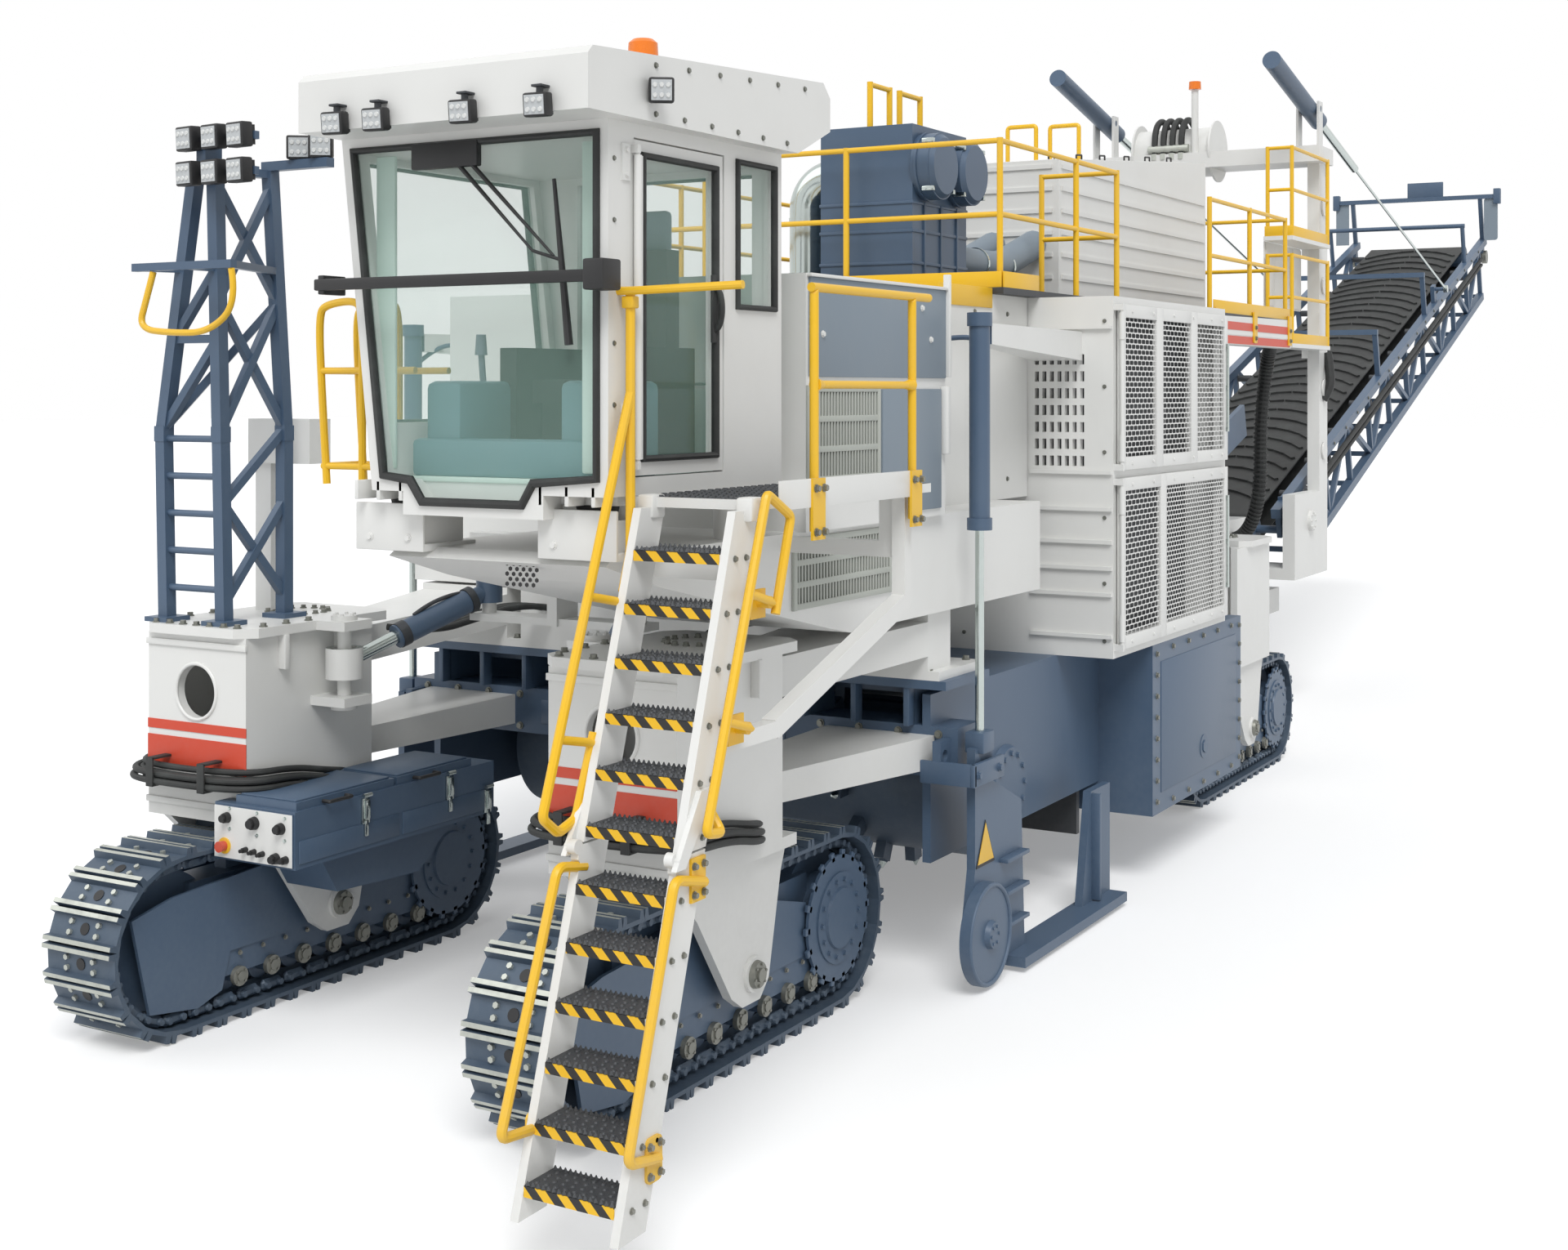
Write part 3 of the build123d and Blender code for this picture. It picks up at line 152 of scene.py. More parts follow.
def stripedFinish(name, stripe):
    material = plainFinish(name, stripe["yellow"], 0.45)
    tree = material.node_tree
    place = addNode(tree, "TexCoord", {}).outputs["Object"]
    axes = addNode(tree, "SeparateXYZ", {"Vector": place})
    slant = addNode(tree, "Math", {0: axes.outputs["X"], 1: axes.outputs["Z"]}).outputs["Value"]
    period = stripe["period"]
    phase = addNode(tree, "Math", {0: slant, 1: period, 2: 0.0}, operation="WRAP").outputs["Value"]
    dark = addNode(tree, "Math", {0: phase, 1: period / 2}, operation="GREATER_THAN").outputs["Value"]
    pair = {"Factor": dark, "A": (*stripe["yellow"], 1), "B": (*stripe["black"], 1)}
    mix = addNode(tree, "Mix", pair, data_type="RGBA")
    tree.links.new(mix.outputs["Result"], tree.nodes["Principled BSDF"].inputs["Base Color"])
    return material


finishes = {
    "white": finish("whitePaint", (0.72, 0.72, 0.70), 0.38, dust=0.07, lowDust=0.2),
    "blue": finish(
        "bluePaint", (0.063, 0.104, 0.168), 0.40, dust=0.10, lowDust=0.20, dustColor=(0.20, 0.24, 0.28)
    ),
    "yellow": finish("yellowPaint", (0.80, 0.47, 0.012), 0.38, dust=0.08, lowDust=0.25),
    "red": finish("redPaint", (0.60, 0.055, 0.02), 0.42, dust=0.10, lowDust=0.3),
    "trackSteel": finish(
        "trackPaint",
        (0.062, 0.092, 0.134),
        0.42,
        0.2,
        dust=0.25,
        lowDust=0.2,
        scale=6,
        bump=0.15,
        dustColor=(0.14, 0.17, 0.20),
    ),
    "darkSteel": finish(
        "darkSteel",
        (0.05, 0.054, 0.06),
        0.5,
        0.4,
        dust=0.25,
        lowDust=0.3,
        scale=3,
        dustColor=(0.13, 0.13, 0.13),
    ),
    "chrome": finish(
        "brightSteel",
        (0.50, 0.55, 0.53),
        0.16,
        1.0,
        dust=0.12,
        lowDust=0.1,
        scale=7,
        dustColor=(0.38, 0.42, 0.41),
    ),
    "greyPanel": finish("greyPanel", (0.195, 0.24, 0.285), 0.5, dust=0.06, lowDust=0.2),
    "louvre": finish("louvreGrey", (0.42, 0.44, 0.40), 0.5, dust=0.08, lowDust=0.2),
    "black": finish(
        "blackPlastic",
        (0.012, 0.012, 0.013),
        0.5,
        dust=0.12,
        lowDust=0.1,
        scale=5,
        dustColor=(0.05, 0.05, 0.05),
    ),
    "rubber": finish(
        "blackRubber",
        (0.02, 0.021, 0.021),
        0.65,
        dust=0.3,
        lowDust=0.2,
        scale=4,
        dustColor=(0.09, 0.10, 0.095),
    ),
    "glass": glassFinish("tintedGlass", (0.42, 0.66, 0.56), 0.13),
    "wornSteel": finish(
        "wornSteel",
        (0.50, 0.52, 0.47),
        0.32,
        0.6,
        dust=0.35,
        lowDust=0.15,
        scale=9,
        dustColor=(0.25, 0.26, 0.25),
    ),
    "oliveCap": finish("zincCaps", (0.21, 0.215, 0.19), 0.38, 0.6, dust=0.2, lowDust=0.3, scale=6),
    "stripes": stripedFinish(
        "stripedNosing", {"yellow": (0.80, 0.47, 0.012), "black": (0.012, 0.012, 0.013), "period": 0.12}
    ),
    "lens": finish(
        "lampLens", (0.50, 0.52, 0.53), 0.15, dust=0.3, lowDust=0, scale=40, dustColor=(0.30, 0.32, 0.33)
    ),
    "led": finish("lampLed", (0.66, 0.67, 0.66), 0.2, dust=0.2, lowDust=0, scale=40),
    "mint": finish("mintLiner", (0.62, 0.74, 0.68), 0.55, dust=0.05, lowDust=0.0),
    "teal": finish("tealConsole", (0.10, 0.205, 0.235), 0.55, dust=0.05, lowDust=0.0),
    "amber": finish(
        "amberLens", (0.85, 0.20, 0.01), 0.2, dust=0.2, lowDust=0, scale=30, dustColor=(0.62, 0.12, 0.005)
    ),
}
print("finishes ready:", len(finishes))

# which finish each CAD node wears
nodeFinish = {
    "lower_frame": "blue",
    "air_cleaner": "blue",
    "light_mast": "blue",
    "control_box": "blue",
    "primary_conveyor": "blue",
    "conveyor_frame": "blue",
    "luff_barrels": "blue",
    "side_plate_left": "blue",
    "side_plate_right": "blue",
    "service_deck": "darkSteel",
    "engine": "darkSteel",
    "scraper_blade": "darkSteel",
    "plate_cylinders": "blue",
    "cutting_drum": "trackSteel",
    "steer_barrel_left": "blue",
    "steer_barrel_right": "blue",
    "steer_rod_left": "chrome",
    "steer_rod_right": "chrome",
    "intake_pipe": "chrome",
    "luff_stays": "chrome",
    "cab_glass": "glass",
    "cab_door_glass": "glass",
    "cab_seat": "black",
    "cab_lamps": "lens",
    "mast_lamps": "lens",
    "platform_rails": "yellow",
    "deck_rails": "yellow",
    "ladder_lower_rails": "yellow",
    "gantry_rails": "yellow",
    "conveyor_belt": "rubber",
}
for name, node in nodes.items():
    if name.startswith("track_frame"):
        key = "blue"
    elif name.startswith("track_"):
        key = "trackSteel"
    else:
        key = nodeFinish.get(name, "white")
    node.data.materials.clear()
    node.data.materials.append(finishes[key])
print("nodes dressed")


# helpers: shapes go into a bmesh, and each bmesh becomes one piece that rides on a body
def addBlock(mesh, place, size, bevel=0.0, segments=2):
    made = bmesh.ops.create_cube(mesh, size=1, matrix=place @ Matrix.Diagonal((*size, 1)))
    if bevel:
        edges = list({edge for vert in made["verts"] for edge in vert.link_edges})
        bmesh.ops.bevel(
            mesh, geom=edges, offset=bevel, segments=segments, profile=0.5, affect="EDGES", material=-1
        )


def addBox(mesh, low, high, bevel=0.0, turn=None):
    low, high = Vector(low), Vector(high)
    place = Matrix.Translation((low + high) / 2)
    addBlock(mesh, place @ turn if turn else place, high - low, bevel)


def addRod(mesh, start, end, radius, sides=16, tip=None):
    start, end = Vector(start), Vector(end)
    along = end - start
    place = Matrix.Translation((start + end) / 2) @ along.to_track_quat("Z", "Y").to_matrix().to_4x4()
    bmesh.ops.create_cone(
        mesh,
        cap_ends=True,
        segments=sides,
        radius1=radius,
        radius2=radius if tip is None else tip,
        depth=along.length,
        matrix=place,
    )


def addBolt(mesh, at, axis, radius=0.022, height=0.02):
    at, axis = Vector(at), Vector(axis).normalized()
    addRod(mesh, at, at + axis * height * 0.3, radius * 1.35, 10)
    addRod(mesh, at + axis * height * 0.3, at + axis * height, radius, 6)


def addBoltRing(mesh, centre, axis, ring, count, first, radius, height):
    across, up = ((0, 1, 0), (0, 0, 1)) if axis[0] else ((1, 0, 0), (0, 1, 0))
    for bolt in range(count):
        angle = math.radians(first + 360 * bolt / count)
        at = Vector(centre) + Vector(across) * ring * math.cos(angle) + Vector(up) * ring * math.sin(angle)
        addBolt(mesh, at, axis, radius, height)


def addSideBox(mesh, side, x, y, z, bevel=0.0):
    near, far = sorted((side * x[0], side * x[1]))
    addBox(mesh, (near, y[0], z[0]), (far, y[1], z[1]), bevel)


def circlePoints(x, y, z, radius, count, axis="X"):
    turns = [2 * math.pi * step / count for step in range(count)]
    if axis == "X":
        return [(x, y + radius * math.cos(turn), z + radius * math.sin(turn)) for turn in turns]
    return [(x + radius * math.cos(turn), y, z + radius * math.sin(turn)) for turn in turns]


def mirrored(place, side):
    return Vector((side * place[0], place[1], place[2]))


def addTube(mesh, points, radius, cyclic=False, smooth=True, sides=3):
    curve = bpy.data.curves.new("route", "CURVE")
    curve.dimensions = "3D"
    curve.bevel_depth = radius
    curve.bevel_resolution = sides
    curve.resolution_u = 8
    curve.use_fill_caps = True
    spline = curve.splines.new("NURBS" if smooth else "POLY")
    spline.points.add(len(points) - 1)
    for point, place in zip(spline.points, points):
        point.co = (*place, 1)
    spline.use_cyclic_u = cyclic
    if smooth:
        spline.order_u = 3
        spline.use_endpoint_u = not cyclic
    holder = bpy.data.objects.new("route", curve)
    tube = bpy.data.meshes.new_from_object(holder)
    mesh.from_mesh(tube)
    bpy.data.objects.remove(holder)
    bpy.data.curves.remove(curve)
    bpy.data.meshes.remove(tube)


def makePiece(name, mesh, finishKey, body="chassis"):
    bmesh.ops.recalc_face_normals(mesh, faces=mesh.faces)
    data = bpy.data.meshes.new(name)
    mesh.to_mesh(data)
    mesh.free()
    data.shade_smooth()
    data.set_sharp_from_angle(angle=math.radians(32))
    data.materials.append(finishes[finishKey])
    piece = bpy.data.objects.new(name, data)
    bpy.context.scene.collection.objects.link(piece)
    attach(piece, body)
    return piece


def paintFaces(nodeName, finishKey, test):
    data = nodes[nodeName].data
    data.materials.append(finishes[finishKey])
    index = len(data.materials) - 1
    for face in data.polygons:
        if test(face.center, face.normal):
            face.material_index = index


def softened(corners, radius):
    corners = [Vector(corner) for corner in corners]
    route = [corners[0]]
    for before, corner, after in zip(corners, corners[1:], corners[2:]):
        route.append(corner + (before - corner).normalized() * radius)
        route.append(corner)
        route.append(corner + (after - corner).normalized() * radius)
    return route + [corners[-1]]


def addRoundPlate(mesh, low, high, radius):
    addBox(mesh, low, high)
    thin = min(range(3), key=lambda axis: high[axis] - low[axis])
    mesh.edges.ensure_lookup_table()
    edges = [edge for edge in mesh.edges[-12:] if abs((edge.verts[0].co - edge.verts[1].co)[thin]) > 1e-6]
    bmesh.ops.bevel(mesh, geom=edges, offset=radius, segments=4, profile=0.5, affect="EDGES", material=-1)


# parts of a node that are painted differently from the rest of it
paintFaces("plate_cylinders", "white", lambda centre, normal: centre.y > -1.074)
paintFaces("service_deck", "white", lambda centre, normal: abs(centre.x) > 1.84 and centre.z < 4.688)
sides = (("left", 1), ("right", -1))
steer = {
    "foot": (0.62, -2.48, 2.60),
    "eye": (1.0, -3.5, 2.2),
    "eyeRadius": 0.13,
    "collars": ((0.68, 0.745, 0.086), (0.14, 0.19, 0.09)),  # from, to, radius
    "hose": ((0.25, 0.08), (0.45, 0.13), (0.62, 0.085)),  # along the barrel, above it
}
for sideName, side in sides:
    eyeSpot = mirrored(steer["eye"], side)
    paintFaces(
        "steer_rod_" + sideName,
        "white",
        lambda centre, normal: (centre - eyeSpot).length < steer["eyeRadius"],
    )

# tracks: worn grouser tops, shoe bolts, chain links, roller caps and sprockets
track = {
    "height": 1.17,
    "straight": 2.53,
    "grouser": 0.045,
    "shoes": 41,
    "rollers": 7,
    "rollerSpan": (-0.76, 0.95),
    "rollerZ": 0.255,
}
corners = {
    "front_left": (1.6, -3.3),
    "front_right": (-1.6, -3.3),
    "rear_left": (1.75, 6.3),
    "rear_right": (-1.75, 6.3),
}
shoeBolt = {"x": 0.115, "y": 0.032, "radius": 0.018, "holeRadius": 0.036}
link = {"x": 0.185, "z": -0.075, "size": (0.05, 0.175, 0.07), "pins": (-0.055, 0.055)}
rollerCap = {"face": 0.235, "radius": 0.062, "boss": 0.032, "boltRing": 0.047}
sprocket = {"face": 0.262, "radius": 0.40, "teeth": 18, "tooth": (0.012, 0.03, 0.022), "boltRing": 0.245}
idler = {"face": 0.188, "boltRing": 0.09}
guard = {"x": 0.226, "z": 0.40, "first": -0.75, "step": 0.2, "bolts": 9}
endRadius = track["height"] / 2
plateRadius = endRadius - track["grouser"]
half = track["straight"] / 2
pitch = 2 * (track["straight"] + math.pi * plateRadius) / track["shoes"]


def loopPlace(place):
    arc = math.pi * plateRadius
    place %= 2 * (track["straight"] + arc)
    if place < track["straight"]:
        return (place - half, endRadius - plateRadius), math.pi
    place -= track["straight"]
    if place < arc:
        turn = place / plateRadius
        spot = (half + plateRadius * math.sin(turn), endRadius - plateRadius * math.cos(turn))
        return spot, math.pi + turn
    place -= arc
    if place < track["straight"]:
        return (half - place, endRadius + plateRadius), 0.0
    turn = (place - track["straight"]) / plateRadius
    return (-half - plateRadius * math.sin(turn), endRadius + plateRadius * math.cos(turn)), turn


def onGrouserTop(centreY):
    def test(centre, normal):
        along = min(max(centre.y - centreY, -half), half)
        away = math.hypot(centre.y - centreY - along, centre.z - endRadius)
        return away > endRadius - 0.006 and abs(normal.x) < 0.5

    return test


for corner, (trackX, trackY) in corners.items():
    body = "crawler_" + corner
    paintFaces("track_" + corner, "wornSteel", onGrouserTop(trackY))
    bolts, holeShade, chain = bmesh.new(), bmesh.new(), bmesh.new()
    for shoe in range(track["shoes"]):
        (along, up), turn = loopPlace(shoe * pitch)
        place = Matrix.Translation((trackX, trackY + along, up)) @ Matrix.Rotation(turn, 4, "X")
        for x in (-shoeBolt["x"], shoeBolt["x"]):
            for y in (-shoeBolt["y"], shoeBolt["y"]):
                foot, top = place @ Vector((x, y, -0.004)), place @ Vector((x, y, 0.016))
                addRod(bolts, foot, top, shoeBolt["radius"], 6)
        # black discs where the track shoes have holes: painted shade in the holes
        foot, top = place @ Vector((0, 0, -0.004)), place @ Vector((0, 0, 0.002))
        addRod(holeShade, foot, top, shoeBolt["holeRadius"], 14)
        for side in (-1, 1):
            middle = Vector((side * link["x"], 0, link["z"]))
            for y in link["pins"]:  # pin bosses on the outer side of each link
                boss = [middle + Vector((side * out, y, 0)) for out in (0.022, 0.044)]
                addRod(chain, place @ boss[0], place @ boss[1], 0.027, 10, 0.02)
            addBlock(chain, place @ Matrix.Translation(middle), link["size"], 0.02, 1)
    makePiece("shoeBolts." + corner, bolts, "wornSteel", body)
    makePiece("shoeHoleShade." + corner, holeShade, "black", body)
    makePiece("trackChain." + corner, chain, "trackSteel", body)
    caps = bmesh.new()
    for side in (1, -1):
        for roller in range(track["rollers"]):
            low, high = track["rollerSpan"]
            y = trackY + low + (high - low) * roller / (track["rollers"] - 1)
            face, z = trackX + side * rollerCap["face"], track["rollerZ"]
            addRod(caps, (face - side * 0.02, y, z), (face + side * 0.012, y, z), rollerCap["radius"], 20)
            addRod(caps, (face, y, z), (face + side * 0.022, y, z), rollerCap["boss"], 12)
            spot = (face + side * 0.01, y, z)
            addBoltRing(caps, spot, (side, 0, 0), rollerCap["boltRing"], 4, 45, 0.009, 0.012)
    makePiece("rollerCaps." + corner, caps, "oliveCap", body)
    wheel = bmesh.new()
    for side in (1, -1):
        face, y = trackX + side * sprocket["face"], trackY + half
        addRod(wheel, (face - side * 0.02, y, endRadius), (face, y, endRadius), sprocket["radius"], 40)
        teeth = circlePoints(face - side * 0.012, y, endRadius, sprocket["radius"], sprocket["teeth"])
        reach = Vector(sprocket["tooth"])
        for tooth, spot in enumerate(teeth):
            turn = Matrix.Rotation(2 * math.pi * tooth / sprocket["teeth"], 4, "X")
            addBox(wheel, Vector(spot) - reach, Vector(spot) + reach, 0.004, turn)
        addRod(wheel, (face, y, endRadius), (face + side * 0.012, y, endRadius), 0.29, 40)
        addRod(wheel, (face, y, endRadius), (face + side * 0.03, y, endRadius), 0.20, 32, 0.19)
        spot = (face + side * 0.01, y, endRadius)
        addBoltRing(wheel, spot, (side, 0, 0), sprocket["boltRing"], 14, 0, 0.014, 0.018)
        spot = (trackX + side * idler["face"], trackY - half, endRadius)
        addBoltRing(wheel, spot, (side, 0, 0), idler["boltRing"], 14, 0, 0.01, 0.018)
    makePiece("driveWheel." + corner, wheel, "blue", body)
    guards = bmesh.new()
    for side in (1, -1):
        for bolt in range(guard["bolts"]):
            y = trackY + guard["first"] + bolt * guard["step"]
            addBolt(guards, (trackX + side * guard["x"], y, guard["z"]), (side, 0, 0), 0.012, 0.014)
    makePiece("guardBolts." + corner, guards, "oliveCap", body)
print("tracks done")

# legs: pin caps, flange bolts, rims and gussets, warning bands and hose wraps
leg = {
    "cheek": 0.37,
    "pivotZ": 0.57,
    "topZ": 2.48,
    "armZ": 1.90,
    "frontY": -0.9,
    "half": 0.43,
    "kingpin": (0.6, -0.2),
    "eyeZ": 2.06,
    "eyeRadius": 0.178,
    "bands": ((1.56, 1.76), (1.80, 1.86)),  # z limits
    "hoses": 5,
    "hoseRadius": 0.021,
}
for corner, (trackX, trackY) in corners.items():
    body = "crawler_" + corner
    front = corner.startswith("front")
    caps = bmesh.new()
    for side in (1, -1):
        face, z = trackX + side * (leg["cheek"] + 0.025), leg["pivotZ"]
        addRod(caps, (face - side * 0.01, trackY, z), (face + side * 0.03, trackY, z), 0.085, 28, 0.075)
        addRod(caps, (face, trackY, z), (face + side * 0.045, trackY, z), 0.04, 20)
        addBoltRing(caps, (face + side * 0.028, trackY, z), (side, 0, 0), 0.062, 6, 15, 0.009, 0.012)
    makePiece("pivotCaps." + corner, caps, "oliveCap", body)
    bolts = bmesh.new()
    addBoltRing(bolts, (trackX, trackY, leg["topZ"]), (0, 0, 1), 0.2, 16, 11, 0.017, 0.024)
    if front:
        for step in range(-3, 4):
            spot = (trackX + step * 0.119, trackY + leg["frontY"], leg["topZ"])
            addBolt(bolts, spot, (0, 0, 1), 0.02, 0.026)
        for y in (-0.75, -0.55, -0.35):
            for side in (1, -1):
                spot = (trackX + side * leg["half"], trackY + y, leg["topZ"])
                addBolt(bolts, spot, (0, 0, 1), 0.02, 0.026)
    makePiece("legBolts." + corner, bolts, "oliveCap", body)
    if not front:
        continue
    rim = bmesh.new()
    face = trackY + leg["frontY"]
    addTube(
        rim, circlePoints(trackX, face - 0.002, leg["eyeZ"], leg["eyeRadius"], 24, "Y"), 0.012, cyclic=True
    )
    for z in (1.345, 2.36):
        middle = Vector((trackX, face - 0.005, z))
        addBox(rim, middle - Vector((0.44, 0.01, 0.02)), middle + Vector((0.44, 0.01, 0.02)), 0.004)
    side = 1 if trackX > 0 else -1
    pin = (trackX - side * leg["kingpin"][0], trackY + leg["kingpin"][1])
    for z in (leg["topZ"], leg["armZ"]):
        addRod(rim, (*pin, z), (*pin, z + 0.03), 0.085, 24)
    addBoltRing(rim, (*pin, leg["topZ"] + 0.03), (0, 0, 1), 0.065, 6, 0, 0.011, 0.014)
    # gussets beside the column, under the top plate
    for x in (-0.46, 0.46):
        for y in (-0.6, -0.1):
            foot = Vector((trackX + x, trackY + y, 2.2))
            addBox(rim, foot - Vector((0.03, 0.02, 0)), foot + Vector((0.03, 0.02, 0.22)), 0.004)
    makePiece("legTrim." + corner, rim, "white", body)
    bands = bmesh.new()
    for low, high in leg["bands"]:
        addBox(bands, (trackX - 0.434, face - 0.004, low), (trackX + 0.434, face + 0.001, high))
    makePiece("warningBands." + corner, bands, "red", body)
    wraps = bmesh.new()
    for turn in range(leg["hoses"]):
        z = 1.50 + 0.045 * (turn % 3)
        out = 0.045 + 0.05 * (turn // 3) + 0.012 * (turn % 2)
        route = [
            (trackX - 0.40, trackY + 0.2, z + 0.25),
            (trackX - 0.43 - out, trackY - 0.1, z + 0.12),
            (trackX - 0.43 - out, trackY - 0.6, z + 0.02),
            (trackX - 0.46 - out, trackY - 0.9 - out, z),
            (trackX - 0.1, trackY - 0.94 - out, z - 0.01),
            (trackX + 0.46 + out, trackY - 0.9 - out, z),
            (trackX + 0.45 + out, trackY - 0.55, z - 0.02),
            (trackX + 0.45 + out, trackY - 0.2, z - 0.10),
            (trackX + 0.38, trackY + 0.1, z - 0.16),
        ]
        addTube(wraps, route, leg["hoseRadius"])
    for x in (trackX - 0.25, trackX + 0.2):  # clamps round the hoses
        for z in (1.46, 1.63):
            addBox(wraps, (x - 0.03, trackY - 1.06, z), (x + 0.03, trackY - 0.90, z + 0.015), 0.003)
        addBox(wraps, (x - 0.03, trackY - 1.062, 1.46), (x + 0.03, trackY - 1.048, 1.645), 0.003)
    makePiece("columnHoses." + corner, wraps, "rubber", body)
print("legs done")

# ladder: treads with teeth, dots and striped nosings, and rounded rail tubes
ladder = {
    "x": (2.485, 2.975),
    "first": (-6.03, 0.45),  # y, z of the lowest tread
    "run": 0.078,
    "rise": 0.25,
    "depth": 0.22,
    "count": 12,
    "split": 6,
    "teeth": 17,
    "dots": (4, 9),
}
left, right = ladder["x"]
flights = {"folding_ladder": range(ladder["split"]), "chassis": range(ladder["split"], ladder["count"])}
for body, steps in flights.items():
    treads, nosing, bolts = bmesh.new(), bmesh.new(), bmesh.new()
    for step in steps:
        y = ladder["first"][0] + step * ladder["run"]
        z = ladder["first"][1] + step * ladder["rise"]
        near, far = y - ladder["depth"] / 2, y + ladder["depth"] / 2
        addBox(treads, (left + 0.004, near, z), (right - 0.004, far, z + 0.006))
        for tooth in range(ladder["teeth"]):
            x = left + 0.02 + tooth * 0.0282
            for edge in (near + 0.002, far - 0.014):
                addRod(treads, (x, edge, z + 0.006), (x, edge, z + 0.024), 0.013, 4, 0.003)
        for row in range(ladder["dots"][0]):
            for column in range(ladder["dots"][1]):
                dot = (left + 0.04 + column * 0.051 + (0.012 if row % 2 else 0), near + 0.045 + row * 0.043)
                addRod(treads, (*dot, z + 0.005), (*dot, z + 0.014), 0.015, 8, 0.009)
        addBox(nosing, (left + 0.003, near - 0.005, z - 0.048), (right - 0.003, near + 0.001, z + 0.002))
        for x, out in ((2.44, -1), (3.02, 1)):
            for shift in (-0.05, 0.05):
                addBolt(bolts, (x, y + shift, z - 0.022), (out, 0, 0), 0.012, 0.014)
    makePiece("treads." + body, treads, "darkSteel", body)
    makePiece("nosings." + body, nosing, "stripes", body)
    makePiece("treadBolts." + body, bolts, "oliveCap", body)
tube = {"radius": 0.024, "stub": 0.021}
rails, plates = bmesh.new(), bmesh.new()
lowerRail = {
    "inner": ((2.47, -5.98, 0.66), (2.47, -6.29, 0.70), (2.47, -5.87, 1.80), (2.47, -5.66, 1.76)),
    "outer": ((3.04, -5.90, 0.60), (3.04, -6.14, 0.65), (3.04, -5.77, 1.79), (3.04, -5.52, 1.73)),
    "innerPlates": ((-6.0, 0.66), (-5.67, 1.72)),  # y, z
    "outerPlates": ((-5.92, 0.60), (-5.56, 1.75)),
}
for name in ("inner", "outer"):
    addTube(rails, softened(lowerRail[name], 0.10), tube["radius"])
for y, z in lowerRail["outerPlates"]:
    addRoundPlate(rails, (3.02, y - 0.06, z - 0.10), (3.034, y + 0.06, z + 0.10), 0.03)
    for shiftY in (-0.04, 0.04):
        for shiftZ in (-0.065, 0.065):
            addBolt(plates, (3.034, y + shiftY, z + shiftZ), (1, 0, 0), 0.014, 0.02)
for y, z in lowerRail["innerPlates"]:
    addRoundPlate(rails, (2.43, y - 0.06, z - 0.07), (2.44, y + 0.06, z + 0.07), 0.03)
lowerRails = makePiece("ladderRailTubes", rails, "yellow", "folding_ladder")
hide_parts("ladder_lower_rails")
makePiece("ladderRailBolts", plates, "oliveCap", "folding_ladder")
rails, plates = bmesh.new(), bmesh.new()
upperRail = {
    "innerX": 2.405,
    "outerX": 3.10,
    "inner": ((-5.64, 1.97), (-5.78, 1.93), (-5.90, 2.02), (-5.25, 3.80), (-5.19, 3.96)),  # y, z
    "innerFoot": (2.43, -5.53, 2.36),
    "upright": ((-5.19, 4.44), (-5.19, 3.18)),
    "uprightFoot": (2.43, -5.29, 3.00),
    "outer": ((-5.47, 1.95), (-5.60, 1.97), (-5.06, 3.48), (-4.83, 3.36), (-4.98, 2.90)),
    "outerFoot": (3.02, -5.46, 2.06),
    "gate": ((2.35, -5.215, 4.455), (2.5, -5.213, 4.456), (3.04, -5.18, 4.47)),
}
innerX, outerX = upperRail["innerX"], upperRail["outerX"]
inner = [upperRail["innerFoot"]] + [(innerX, *bend) for bend in upperRail["inner"]]
upright = [(innerX, *bend) for bend in upperRail["upright"]] + [upperRail["uprightFoot"]]
outer = [upperRail["outerFoot"]] + [(outerX, *bend) for bend in upperRail["outer"]]
for bends in (inner, upright, outer):
    addTube(rails, softened(bends, 0.065), tube["radius"])
for z in (2.36, 3.0):  # stubs from the inner rail to its stringer
    y = -5.90 + (z - 2.02) * 0.365
    addRod(rails, (innerX, y, z), (innerX + 0.03, y + 0.24, z - 0.05), tube["stub"], 14)
for z in (2.45, 3.02):  # stubs from the outer rail
    y = -5.60 + (z - 1.96) * 0.355
    addRod(rails, (outerX, y, z), (outerX, y + 0.22, z - 0.06), tube["stub"], 14)
    addRoundPlate(rails, (3.02, y + 0.12, z - 0.14), (3.036, y + 0.26, z), 0.03)
    addRod(rails, (3.03, y + 0.20, z - 0.06), (outerX, y + 0.20, z - 0.06), 0.03, 16)
addTube(rails, softened(upperRail["gate"], 0.05), tube["stub"])
addBox(rails, (2.372, -5.222, 4.37), (2.438, -5.16, 4.43), 0.008)  # clamp at the upright's head
platformRail = {"x": 3.03, "posts": (-4.47, -3.35), "top": 4.49, "knee": 4.0, "plate": (3.052, 3.066)}
x, knee = platformRail["x"], platformRail["knee"]
near, far = platformRail["plate"]
for y in platformRail["posts"]:
    addRod(rails, (x, y, 3.26), (x, y, 4.48), tube["radius"], 20)
    addRoundPlate(rails, (near, y - 0.075, 3.22), (far, y + 0.055, 3.53), 0.025)
    for shiftY in (-0.045, 0.035):
        for z in (3.26, 3.48):
            addBolt(plates, (far, y + shiftY, z), (1, 0, 0), 0.016, 0.024)
addRod(rails, (x, -4.50, platformRail["top"]), (x, -3.14, platformRail["top"]), tube["radius"], 20)
addRod(rails, (x, platformRail["posts"][0], knee), (x, platformRail["posts"][1], knee), tube["stub"], 16)
for y, turn in ((-4.42, 1), (-3.40, -1)):  # flared ends of the knee rail
    addRod(rails, (x, y - turn * 0.04, knee), (x, y + turn * 0.03, knee), 0.036, 16, tube["stub"])
upperRails = makePiece("platformRailTubes", rails, "yellow")
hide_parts("platform_rails")
makePiece("platformRailBolts", plates, "oliveCap")
print("ladder done")

